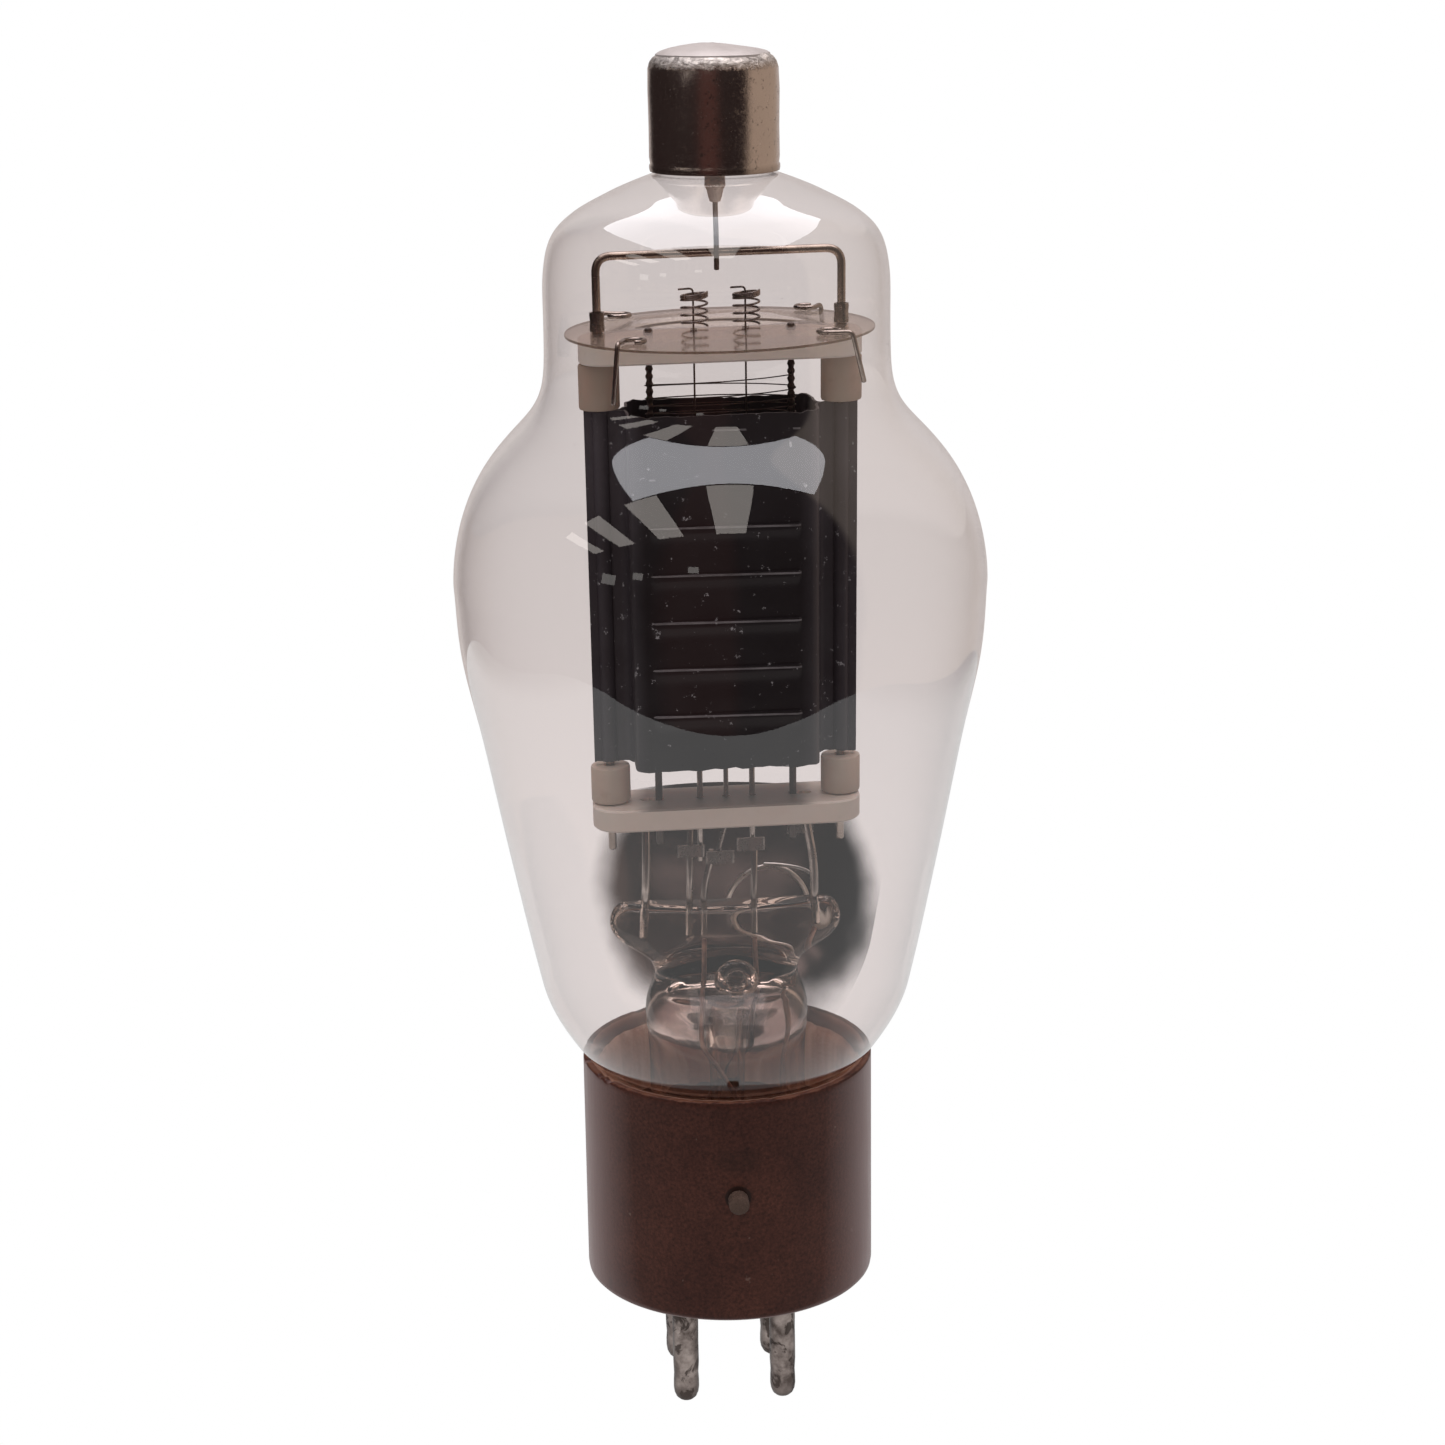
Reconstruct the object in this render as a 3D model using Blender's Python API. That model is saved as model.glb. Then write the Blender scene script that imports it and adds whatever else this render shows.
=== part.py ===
"""A shouldered-bulb transmitting triode valve with a top anode cap and a four-pin bayonet base.

Sizes below are millimetres; meshes are written in metres. +Z points up along the valve's axis, the
bayonet pin is at -Y, and the origin is the centre of the base's underside, the plane that seats on a
valve socket.
"""

import math

import bmesh
import bpy
from mathutils import Matrix, Vector

MM = 0.001
FIT = 0.15  # gap left between pieces that touch on the real valve

# Driving dimensions
BASE_RADIUS = 17.46
BASE_HEIGHT = 27.9
BASE_WALL = 1.6
BASE_FLOOR = 2.2
PIN_LENGTH = 16.0
PIN_SPACING_X = 11.9
PIN_SPACING_Y = 11.1
SMALL_PIN_RADIUS = 1.59
LARGE_PIN_RADIUS = 1.98
BAYONET_HEIGHT = 15.7
BULB_RADIUS = 30.94
BULB_WALL = 1.0
NECK_RADIUS = 14.8
CAP_RADIUS = 7.4
CAP_BOTTOM = 133.1
CAP_TOP = 146.6
CAP_WALL = 0.4
ROD_X = 13.85  # anode support rods, from the axis
GRID_ROD_X = 8.1
HOOK_X = 2.95
POST_X = 3.15
APEX_X = 1.6  # where each filament hairpin hangs on its hook
APEX_Z = 100.9
LOWER_CERAMIC = (56.7, 59.4)
UPPER_CERAMIC = (111.2, 114.8)
CERAMIC_HALF = (16.1, 4.4)
ANODE_BOTTOM = 64.2
ANODE_TOP = 106.3
ANODE_DEPTH = 6.0
ANODE_SHEET = 0.35
MICA_RADIUS = 17.4
MICA = (114.95, 115.3)
YOKE_TOP = 123.9
PRESS_TOP = 46.6

ROD_RADIUS = 0.475
GRID_ROD_RADIUS = 0.42
POST_RADIUS = 0.35
SUPPORT_RADIUS = 0.52
LEAD_RADIUS = 0.4
STRAP_FRONT = -0.7  # straps lie across the front of the round leads

# name: (base colour, roughness, metallic)
FINISHES = {
    "base_phenolic": ((0.060, 0.028, 0.022), 0.45, 0.0),
    "cement": ((0.16, 0.09, 0.055), 0.9, 0.0),
    "glass": ((0.86, 0.84, 0.83), 0.03, 0.0),
    "stem_glass": ((0.80, 0.78, 0.75), 0.03, 0.0),
    "nickel": ((0.52, 0.48, 0.43), 0.3, 1.0),
    "cap_metal": ((0.45, 0.40, 0.35), 0.35, 1.0),
    "solder": ((0.60, 0.58, 0.56), 0.3, 1.0),
    "pin_metal": ((0.40, 0.35, 0.31), 0.4, 1.0),
    "brass_stud": ((0.20, 0.14, 0.09), 0.5, 1.0),
    "ceramic": ((0.62, 0.55, 0.50), 0.6, 0.0),
    "bushing_ceramic": ((0.42, 0.33, 0.27), 0.7, 0.0),
    "carbonised_nickel": ((0.018, 0.017, 0.018), 0.6, 0.3),
    "mica": ((0.55, 0.50, 0.44), 0.12, 0.0),
    "molybdenum": ((0.30, 0.27, 0.25), 0.35, 1.0),
    "tungsten": ((0.22, 0.20, 0.19), 0.4, 1.0),
    "copper": ((0.50, 0.20, 0.12), 0.4, 1.0),
    "getter_metal": ((0.35, 0.33, 0.31), 0.35, 1.0),
    "seal_glass": ((0.45, 0.28, 0.24), 0.1, 0.0),
}


# ---------------------------------------------------------------- tools


def clear_scene():
    for obj in list(bpy.data.objects):
        bpy.data.objects.remove(obj, do_unlink=True)


def make_materials():
    made = {}
    for name, (colour, roughness, metallic) in FINISHES.items():
        material = bpy.data.materials.new(name)
        material.use_nodes = True
        shader = material.node_tree.nodes["Principled BSDF"]
        shader.inputs["Base Color"].default_value = (*colour, 1.0)
        shader.inputs["Roughness"].default_value = roughness
        shader.inputs["Metallic"].default_value = metallic
        made[name] = material
    return made


def add_mesh(name, mesh, finish):
    """Links a mesh that is already in metres as a named, smooth-shaded object."""
    obj = bpy.data.objects.new(name, mesh)
    bpy.context.scene.collection.objects.link(obj)
    mesh.materials.clear()
    mesh.materials.append(MATERIALS[finish])
    mesh.shade_smooth()
    mesh.set_sharp_from_angle(angle=math.radians(35))
    return obj


def finish_bmesh(name, bm, finish):
    """Closes, orients and scales a millimetre bmesh, then links it."""
    bmesh.ops.remove_doubles(bm, verts=bm.verts, dist=1e-5)
    bmesh.ops.recalc_face_normals(bm, faces=bm.faces)
    bmesh.ops.scale(bm, vec=Vector((MM, MM, MM)), verts=bm.verts)
    mesh = bpy.data.meshes.new(name)
    bm.to_mesh(mesh)
    bm.free()
    return add_mesh(name, mesh, finish)


def turned(name, profile, finish, segments=24, closed=False, axis="Z", centre=(0, 0, 0)):
    """Spins (radius, height) points. A closed profile is a ring; an open one runs from axis to axis."""
    bm = bmesh.new()
    verts = [bm.verts.new((r, 0, z)) for r, z in profile]
    ends = verts[1:] + verts[:1] if closed else verts[1:]
    edges = [bm.edges.new(pair) for pair in zip(verts, ends)]
    bmesh.ops.spin(
        bm,
        geom=verts + edges,
        cent=(0, 0, 0),
        axis=(0, 0, 1),
        angle=2 * math.pi,
        steps=segments,
        use_merge=True,
    )
    if axis == "-Y":
        bmesh.ops.rotate(bm, verts=bm.verts, cent=(0, 0, 0), matrix=Matrix.Rotation(math.pi / 2, 3, "X"))
    bmesh.ops.translate(bm, vec=Vector(centre), verts=bm.verts)
    return finish_bmesh(name, bm, finish)


def prism(name, outline, bottom, top, finish):
    """Extrudes a closed (x, y) outline between two heights."""
    bm = bmesh.new()
    face = bm.faces.new([bm.verts.new((x, y, bottom)) for x, y in outline])
    raised = bmesh.ops.extrude_face_region(bm, geom=[face])["geom"]
    tops = [v for v in raised if isinstance(v, bmesh.types.BMVert)]
    bmesh.ops.translate(bm, vec=(0, 0, top - bottom), verts=tops)
    return finish_bmesh(name, bm, finish)


def rounded_rectangle(half_x, half_y, radius, steps=4):
    points = []
    for quadrant, (sx, sy) in enumerate([(1, 1), (-1, 1), (-1, -1), (1, -1)]):
        cx, cy = sx * (half_x - radius), sy * (half_y - radius)
        for step in range(steps + 1):
            angle = math.pi / 2 * (quadrant + step / steps)
            points.append((cx + radius * math.cos(angle), cy + radius * math.sin(angle)))
    return points


def rounded_path(points, radius, steps=4):
    """A polyline through the points with each corner replaced by a short curve."""
    points = [Vector(p) for p in points]
    path = [points[0]]
    for before, corner, after in zip(points, points[1:], points[2:]):
        reach = min(radius, (corner - before).length * 0.45, (after - corner).length * 0.45)
        start = corner + (before - corner).normalized() * reach
        end = corner + (after - corner).normalized() * reach
        for step in range(steps + 1):
            t = step / steps
            path.append(start.lerp(corner, t).lerp(corner.lerp(end, t), t))
    path.append(points[-1])
    return path


def wire_mesh(name, path, radius, resolution):
    """The mesh of a bevelled poly curve with closed ends, welded."""
    curve = bpy.data.curves.new(name, "CURVE")
    curve.dimensions = "3D"
    curve.bevel_depth = radius * MM
    curve.bevel_resolution = resolution
    curve.use_fill_caps = True
    spline = curve.splines.new("POLY")
    spline.points.add(len(path) - 1)
    for point, place in zip(spline.points, path):
        point.co = (*(Vector(place) * MM), 1.0)
    guide = bpy.data.objects.new(name + "_guide", curve)
    bpy.context.scene.collection.objects.link(guide)
    evaluated = guide.evaluated_get(bpy.context.evaluated_depsgraph_get())
    mesh = bpy.data.meshes.new_from_object(evaluated)
    bpy.data.objects.remove(guide, do_unlink=True)
    bm = bmesh.new()
    bm.from_mesh(mesh)
    bmesh.ops.remove_doubles(bm, verts=bm.verts, dist=1e-8)
    bmesh.ops.recalc_face_normals(bm, faces=bm.faces)
    bm.to_mesh(mesh)
    bm.free()
    return mesh


def wire(name, path, radius, finish, resolution=2):
    return add_mesh(name, wire_mesh(name, path, radius, resolution), finish)


def cut(obj, cutter):
    """Takes a cutter object away from obj with a Boolean modifier."""
    cutter.hide_render = True
    cutter.display_type = "WIRE"
    modifier = obj.modifiers.new("cut_" + cutter.name, "BOOLEAN")
    modifier.operation = "DIFFERENCE"
    modifier.solver = "EXACT"
    modifier.object = cutter


def drill(obj, holes, bottom, top, sides=12):
    """Drills vertical round holes, each (x, y, radius), with one cutter."""
    bm = bmesh.new()
    for x, y, radius in holes:
        place = Matrix.Translation((x, y, (bottom + top) / 2))
        bmesh.ops.create_cone(
            bm,
            cap_ends=True,
            segments=sides,
            radius1=radius,
            radius2=radius,
            depth=top - bottom,
            matrix=place,
        )
    cut(obj, finish_bmesh(obj.name + "_drill", bm, "nickel"))


def smooth_outline(knots, per_span):
    """Catmull-Rom points through (radius, height) knots."""
    knots = [Vector(k) for k in knots]
    ends = [2 * knots[0] - knots[1]] + knots + [2 * knots[-1] - knots[-2]]
    points = []
    for a, b, c, d in zip(ends, ends[1:], ends[2:], ends[3:]):
        for step in range(per_span):
            t = step / per_span
            points.append(
                0.5 * (2 * b + (c - a) * t + (2 * a - 5 * b + 4 * c - d) * t**2 + (3 * b - a - 3 * c + d) * t**3)
            )
    return points + [knots[-1]]


def inner_outline(points, wall):
    """The outline moved towards the axis side by the wall's thickness."""
    inner = []
    for index, point in enumerate(points):
        ahead = points[min(index + 1, len(points) - 1)]
        behind = points[max(index - 1, 0)]
        along = (ahead - behind).normalized()
        inner.append(point + Vector((-along.y, along.x)) * wall)
    return inner


# ---------------------------------------------------------------- base


def pin_places():
    """(number, x, y, radius): the two thick filament pins are at the back, away from the bayonet pin."""
    x, y = PIN_SPACING_X / 2, PIN_SPACING_Y / 2
    return [
        (1, -x, y, LARGE_PIN_RADIUS),
        (2, -x, -y, SMALL_PIN_RADIUS),
        (3, x, -y, SMALL_PIN_RADIUS),
        (4, x, y, LARGE_PIN_RADIUS),
    ]


def build_base():
    r, wall, floor, edge = BASE_RADIUS, BASE_WALL, BASE_FLOOR, 1.0
    inner = r - wall
    profile = [(0, 0), (r - edge, 0), (r - 0.3 * edge, 0.3 * edge), (r, edge)]
    profile += [(r, BASE_HEIGHT - 0.2), (r - 0.2, BASE_HEIGHT), (inner + 0.65, BASE_HEIGHT)]
    profile += [(inner, BASE_HEIGHT - 1.2), (inner, floor + 0.8), (inner - 0.8, floor), (0, floor)]
    shell = turned("base_shell", profile, "base_phenolic", segments=48)
    drill(shell, [(x, y, pin_r + FIT) for _, x, y, pin_r in pin_places()], -1, floor + 1, sides=20)

    stud = 1.2
    hole = turned(
        "bayonet_hole",
        [(0, 14), (stud + FIT, 14), (stud + FIT, 19), (0, 19)],
        "nickel",
        segments=16,
        axis="-Y",
        centre=(0, 0, BAYONET_HEIGHT),
    )
    cut(shell, hole)
    head = 1.8
    turned(
        "bayonet_pin",
        [(0, 15.0), (head, 15.0), (head, 15.5), (stud, 15.5), (stud, 19.1), (stud - 0.3, 19.4), (0, 19.4)],
        "brass_stud",
        segments=16,
        axis="-Y",
        centre=(0, 0, BAYONET_HEIGHT),
    )

    cement_in, cement_out = NECK_RADIUS + FIT, inner - FIT
    turned(
        "base_cement",
        [(cement_in, 18.2), (cement_out, 18.2), (cement_out, 26.3), (cement_out - 0.2, 26.4), (cement_in, 24.3)],
        "cement",
        segments=48,
        closed=True,
    )


def build_pins():
    collar, bore_wall = 0.6, 0.45
    for number, x, y, r in pin_places():
        bore = r - bore_wall
        profile = [(0, -PIN_LENGTH), (0.5 * r, -PIN_LENGTH), (0.87 * r, 0.45 - PIN_LENGTH), (r, 1.3 - PIN_LENGTH)]
        profile += [(r, BASE_FLOOR + FIT), (r + collar, BASE_FLOOR + FIT), (r + collar, BASE_FLOOR + 0.75)]
        profile += [(r, BASE_FLOOR + 0.75), (r, 4.2), (bore, 4.2), (bore, 2.4 - PIN_LENGTH), (0, 2.0 - PIN_LENGTH)]
        turned(f"contact_pin_{number}", profile, "pin_metal", segments=20, centre=(x, y, 0))


# ---------------------------------------------------------------- glass


def bulb_outline():
    """Outer (radius, height) outline from the neck, over the bulge and the dome, to the anode seal."""
    return [
        (NECK_RADIUS, 13.2),
        (NECK_RADIUS, 24.6),
        (15.6, 27.3),
        (18.3, 30.1),
        (21.2, 35.0),
        (22.7, 40.4),
        (25.5, 54.0),
        (28.2, 68.0),
        (30.3, 78.0),
        (BULB_RADIUS, 86.5),
        (30.2, 92.0),
        (27.7, 98.7),
        (24.0, 103.1),
        (21.0, 106.4),
        (19.85, 110.0),
        (19.7, 116.0),
        (19.6, 122.0),
        (18.6, 126.0),
        (16.1, 128.6),
        (12.2, 130.7),
        (7.6, 132.5),
        (6.2, 133.2),
        (5.5, 136.0),
        (5.2, 138.4),
        (3.6, 140.4),
        (1.5, 141.0),
    ]


def build_bulb():
    outer = smooth_outline(bulb_outline(), 1)
    inner = inner_outline(outer, BULB_WALL)
    inner[-1] = Vector((outer[-1].x, inner[-1].y))
    ring = [tuple(p) for p in outer] + [tuple(p) for p in reversed(inner)]
    turned("glass_bulb", ring, "glass", segments=36, closed=True)


def stem_section(bm, z, half_x, half_y, sides):
    """One closed cross-section ring of the stem, round or flattened."""
    ring = []
    for step in range(sides):
        angle = 2 * math.pi * step / sides
        squareness = 0.8 if half_y < 0.6 * half_x else 1.0
        c, s = math.cos(angle), math.sin(angle)
        x = half_x * math.copysign(abs(c) ** squareness, c)
        y = half_y * math.copysign(abs(s) ** squareness, s)
        ring.append(bm.verts.new((x, y, z)))
    return ring


def build_stem():
    """The flared tube that is pinched flat at the top, where the leads pass through the glass."""
    outside = [
        (13.4, 13.5, 13.5),
        (15.5, 10.9, 10.9),
        (19.0, 9.6, 9.6),
        (27.0, 9.4, 9.4),
        (32.5, 10.2, 9.9),
        (35.5, 9.4, 7.8),
        (38.0, 8.6, 5.2),
        (40.0, 9.2, 3.9),
        (42.0, 12.0, 3.1),
        (44.2, 13.8, 2.8),
        (46.0, 13.6, 2.5),
        (PRESS_TOP, 12.9, 1.7),
    ]
    inside = [
        (13.4, 12.5, 12.5),
        (15.9, 9.7, 9.7),
        (19.5, 8.5, 8.5),
        (27.0, 8.3, 8.3),
        (32.0, 8.7, 7.6),
        (34.6, 7.6, 5.0),
        (36.4, 5.6, 2.4),
    ]
    sides = 24
    bm = bmesh.new()
    rings = [stem_section(bm, z, a, b, sides) for z, a, b in reversed(inside)]
    rings += [stem_section(bm, z, a, b, sides) for z, a, b in outside]
    for lower, upper in zip(rings, rings[1:]):
        for i in range(sides):
            j = (i + 1) % sides
            bm.faces.new((lower[i], lower[j], upper[j], upper[i]))
    bm.faces.new(rings[0])
    bm.faces.new(rings[-1])
    stem = finish_bmesh("glass_stem", bm, "stem_glass")

    lead_hole = LEAD_RADIUS + FIT
    holes = [(x, 0, lead_hole) for x in (-4.4, -2.6, 3.4)]
    holes += [(x, 0, SUPPORT_RADIUS + FIT) for x in (-9.7, 10.7)]
    drill(stem, holes, 42.4, 50, sides=10)
    drill(stem, [(x, 0, 0.3 + FIT) for x in (-2.6, 3.4)], 35.2, 42.9, sides=8)
    slant = wire_mesh("grid_lead_bore", GRID_LEAD_PATH[:4], 0.3 + FIT, 2)
    cut(stem, add_mesh("grid_lead_bore", slant, "copper"))
    # The blown hole that the valve was pumped through opens to the front and joins the tube's inside.
    pumping = wire_mesh("pumping_hole", [(0.9, -9, 38.6), (0.9, -2.6, 38.0), (0.9, -1.4, 35.0)], 1.1, 3)
    cut(stem, add_mesh("pumping_hole", pumping, "glass"))

    bore, r = 1.25, 2.05
    profile = [(0, 6.0), (0.8, 6.3), (1.7, 8.4), (r, 10.5), (r, 33.4), (bore, 33.4), (bore, 10.8), (0.7, 9.2), (0, 8.8)]
    turned("exhaust_tube", profile, "stem_glass", segments=16)


# ---------------------------------------------------------------- leads under the mount

GRID_LEAD_PATH = [
    (10.6, 0, 43.2),
    (9.6, 0, 41.4),
    (7.6, 0, 37.8),
    (6.6, 0, 34.4),
    (6.3, -2.0, 30.0),
    (6.2, -4.2, 22.0),
    (5.95, -5.4, 12.0),
    (5.95, -5.55, 5.0),
    (5.95, -5.55, -8.0),
]
FILAMENT_LEAD_A = [
    (-2.6, 0, 42.2),
    (-2.6, 0, 34.8),
    (-3.0, -3.4, 30.5),
    (-0.6, -4.8, 26.0),
    (2.6, -4.2, 20.0),
    (5.2, 1.6, 12.0),
    (5.95, 5.4, 6.5),
    (5.95, 5.55, -8.0),
]
FILAMENT_LEAD_B = [
    (3.4, 0, 42.2),
    (3.4, 0, 34.8),
    (3.2, 3.5, 30.5),
    (0.4, 4.9, 25.0),
    (-3.2, 5.1, 17.0),
    (-5.6, 5.5, 9.0),
    (-5.95, 5.55, 5.5),
    (-5.95, 5.55, -8.0),
]


def build_stem_leads():
    top = LOWER_CERAMIC[0] + 1.8
    wire("support_rod_left", [(-9.7, 0, 42.6), (-9.7, 0, top)], SUPPORT_RADIUS, "nickel")
    bend = [(10.7, 0, 43.6), (10.7, 0, 50.5), (9.7, 0, 55.8), (9.7, 0, top)]
    wire("support_rod_right", rounded_path(bend, 2.0), SUPPORT_RADIUS, "nickel")
    wire("filament_lead_left", [(-4.4, 0, 42.6), (-4.4, 0, 56.2)], LEAD_RADIUS, "nickel")
    crank = [(-2.6, 0, 42.6), (-2.6, 0, 48.5), (-1.95, 0, 51.5), (-1.9, 0, 52.8)]
    wire("filament_lead_centre", rounded_path(crank, 1.5), LEAD_RADIUS, "nickel")
    wire("filament_lead_right", [(3.4, 0, 42.6), (3.4, 0, 53.2)], LEAD_RADIUS, "nickel")
    wire("pin_wire_grid", rounded_path(GRID_LEAD_PATH, 2.0, 2), 0.3, "copper", 1)
    wire("pin_wire_filament_a", rounded_path(FILAMENT_LEAD_A, 2.5, 3), 0.3, "copper", 1)
    wire("pin_wire_filament_b", rounded_path(FILAMENT_LEAD_B, 2.5, 3), 0.3, "copper", 1)


def ribbon(name, left, right, low, high, front):
    """A flat nickel strap across the leads, its ends folded back."""
    thick, fold = 0.2, 0.32
    outer = [(left, front + fold), (left, front), (right, front), (right, front + fold)]
    inner = [(right - thick, front + fold), (right - thick, front + thick)]
    inner += [(left + thick, front + thick), (left + thick, front + fold)]
    prism(name, outer + inner, low, high, "nickel")


def build_straps():
    ribbon("strap_left", -6.0, -2.75, 52.1, 53.6, STRAP_FRONT)
    ribbon("strap_centre", -2.55, 0.9, 51.2, 52.7, STRAP_FRONT)
    ribbon("strap_right", 1.2, 4.6, 52.6, 54.2, STRAP_FRONT)
    back = [(7.4, 0.6), (10.7, 0.85), (10.7, 1.05), (7.4, 0.8)]
    prism("grid_strap", back, 54.0, 55.2, "nickel")


def build_getter():
    centre, major, minor = Vector((5.4, 6.0, 44.5)), 5.4, 0.3
    ring = [(major + minor * math.cos(a), minor * math.sin(a)) for a in (k * math.pi / 3 for k in range(6))]
    turned("getter_ring", ring, "getter_metal", segments=28, closed=True, axis="-Y", centre=centre)
    arm = [(10.7, 0.85, 50.6), (9.6, 3.6, 50.55), (7.2, 5.4, 50.5), (5.0, 6.0, 50.5)]
    wire("getter_strut", rounded_path(arm, 1.5, 3), 0.22, "getter_metal", 1)


# ---------------------------------------------------------------- electrode mount


def ceramic_bar(name, span, holes):
    half_x, half_y = CERAMIC_HALF
    bar = prism(name, rounded_rectangle(half_x, half_y, 3.4), span[0], span[1], "ceramic")
    drill(bar, holes, span[0] - 1, span[1] + 1, sides=10)


def build_insulators():
    rods = [(s * ROD_X, 0, ROD_RADIUS + FIT) for s in (-1, 1)]
    grid = [(s * GRID_ROD_X, 0, GRID_ROD_RADIUS + FIT) for s in (-1, 1)]
    posts = [(x, 0, POST_RADIUS + FIT) for x in (-POST_X, 0, POST_X)]
    supports = [(s * 9.7, 0, SUPPORT_RADIUS + FIT) for s in (-1, 1)]
    hooks = [(s * HOOK_X, 0, 0.4) for s in (-1, 1)]
    # The support rods stand beside the grid rods, so each pair shares one long hole.
    ceramic_bar("lower_ceramic", LOWER_CERAMIC, rods + posts)
    lower = bpy.data.objects["lower_ceramic"]
    for side, (grid_hole, support_hole) in enumerate(zip(grid, supports)):
        drill_slot(lower, f"lower_slot_{side}", grid_hole, support_hole, LOWER_CERAMIC)
    ceramic_bar("upper_ceramic", UPPER_CERAMIC, rods + grid + hooks)

    heights = {"upper": (ANODE_TOP + 0.2, UPPER_CERAMIC[0] - FIT), "lower": (LOWER_CERAMIC[1] + FIT, ANODE_BOTTOM - 0.2)}
    bush, bore = 2.35, ROD_RADIUS + FIT
    for level, (low, high) in heights.items():
        for side, word in ((-1, "left"), (1, "right")):
            ring = [(bore, low), (bush - 0.15, low), (bush, low + 0.15)]
            ring += [(bush, high - 0.15), (bush - 0.15, high), (bore, high)]
            name = f"bushing_{level}_{word}"
            turned(name, ring, "bushing_ceramic", segments=20, closed=True, centre=(side * ROD_X, 0, 0))

    disc = turned("mica_disc", [(0, MICA[0]), (MICA_RADIUS, MICA[0]), (MICA_RADIUS, MICA[1]), (0, MICA[1])], "mica", 56)
    drill(disc, rods + grid + hooks, MICA[0] - 1, MICA[1] + 1, sides=10)
    cut(disc, leakage_slot())


def drill_slot(obj, name, first, second, span):
    """One long hole that takes two rods side by side."""
    (x1, _, r1), (x2, _, r2) = sorted((first, second))
    outline = rounded_rectangle((x2 + r2 - x1 + r1) / 2, max(r1, r2), max(r1, r2) - 0.01, 3)
    middle = (x1 - r1 + x2 + r2) / 2
    cutter = prism(name, [(x + middle, y) for x, y in outline], span[0] - 1, span[1] + 1, "nickel")
    cut(obj, cutter)


def leakage_slot():
    """A narrow curved slot behind the springs that lengthens the leakage path over the mica."""
    half_x, half_y, width, steps = 9.6, 7.6, 0.35, 12
    outline = []
    for grow, order in ((0, 1), (width, -1)):
        for step in range(steps + 1)[::order]:
            angle = math.radians(22 + 136 * step / steps)
            outline.append(((half_x + grow) * math.cos(angle), (half_y + grow) * math.sin(angle)))
    return prism("leakage_slot", outline, MICA[0] - 1, MICA[1] + 1, "mica")


def anode_section(side):
    """(x, y) centre line of one pressed anode half; side is -1 at the front and 1 at the back."""
    seam, channel = 0.25, 0.85
    rod = [(ROD_X + channel * math.cos(a), channel * math.sin(a)) for a in (0.3, 0.85, 1.57, 2.29, 2.84)]
    wing = [(15.7, seam), (15.0, seam)] + rod + [(12.0, seam), (11.2, 0.7)]
    box = [(10.8, 1.7), (10.75, ANODE_DEPTH - 1.3), (10.3, ANODE_DEPTH - 0.35), (9.4, ANODE_DEPTH), (8.5, ANODE_DEPTH)]
    half = wing + box
    return [(-x, side * y) for x, y in half] + [(x, side * y) for x, y in reversed(half)]


def ledge_levels():
    """(height, outward step) rows of the anode: five pressed ledges between a plain top and bottom."""
    first, pitch, step, slope = 71.1, 5.55, 0.4, 1.7
    rows = [(ANODE_BOTTOM, 0.0)]
    for k in range(5):
        ledge = first + k * pitch
        rows += [(ledge - slope, 0.0), (ledge, step), (ledge + 0.12, 0.0)]
    return rows + [(ANODE_TOP, 0.0)]


def build_anode():
    for name, side in (("anode_front", -1), ("anode_rear", 1)):
        section = anode_section(side)
        bm = bmesh.new()
        rows = []
        for z, out in ledge_levels():
            raised = [side * out if abs(x) < 8.6 else 0.0 for x, _ in section]
            rows.append([bm.verts.new((x, y + dy, z)) for (x, y), dy in zip(section, raised)])
        for low, high in zip(rows, rows[1:]):
            for i in range(len(section) - 1):
                bm.faces.new((low[i], low[i + 1], high[i + 1], high[i]))
        half = finish_bmesh(name, bm, "carbonised_nickel")
        sheet = half.modifiers.new("sheet", "SOLIDIFY")
        sheet.thickness = ANODE_SHEET * MM
        sheet.offset = 0.0

    for side, word in ((-1, "left"), (1, "right")):
        x = side * ROD_X
        wire(f"anode_rod_{word}", [(x, 0, 53.4), (x, 0, 116.0)], ROD_RADIUS, "nickel")
        bore, out = ROD_RADIUS + 0.1, 0.85
        ring = [(bore, MICA[1] + 0.1), (out, MICA[1] + 0.1), (out, 117.6), (bore, 117.6)]
        turned(f"yoke_sleeve_{word}", ring, "nickel", segments=16, closed=True, centre=(x, 0, 0))
    yoke = [(-ROD_X, 0, 116.2), (-ROD_X, 0, YOKE_TOP), (ROD_X, 0, YOKE_TOP), (ROD_X, 0, 116.2)]
    wire("anode_yoke", rounded_path(yoke, 1.7, 5), ROD_RADIUS, "nickel")


def build_grid():
    for side, word in ((-1, "left"), (1, "right")):
        x = side * GRID_ROD_X
        wire(f"grid_rod_{word}", [(x, 0, 53.8), (x, 0, MICA[1] + 0.3)], GRID_ROD_RADIUS, "molybdenum")
    turns, low, high = 18, 65.6, 105.8
    around, bow = GRID_ROD_RADIUS + 0.24, 2.2
    loop = [(GRID_ROD_X + around * math.cos(a), around * math.sin(a)) for a in (-1.05, 0.0, 1.05)]
    loop += [(x, bow - 0.025 * x * x) for x in (5.6, 2.9, 0.0, -2.9, -5.6)]
    loop += [(-x, -y) for x, y in loop]
    count = turns * len(loop)
    pitch = (high - low) / count
    path = [(*loop[k % len(loop)], low + k * pitch) for k in range(count + 1)]
    wire("grid_winding", path, 0.09, "molybdenum", 0)


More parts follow.
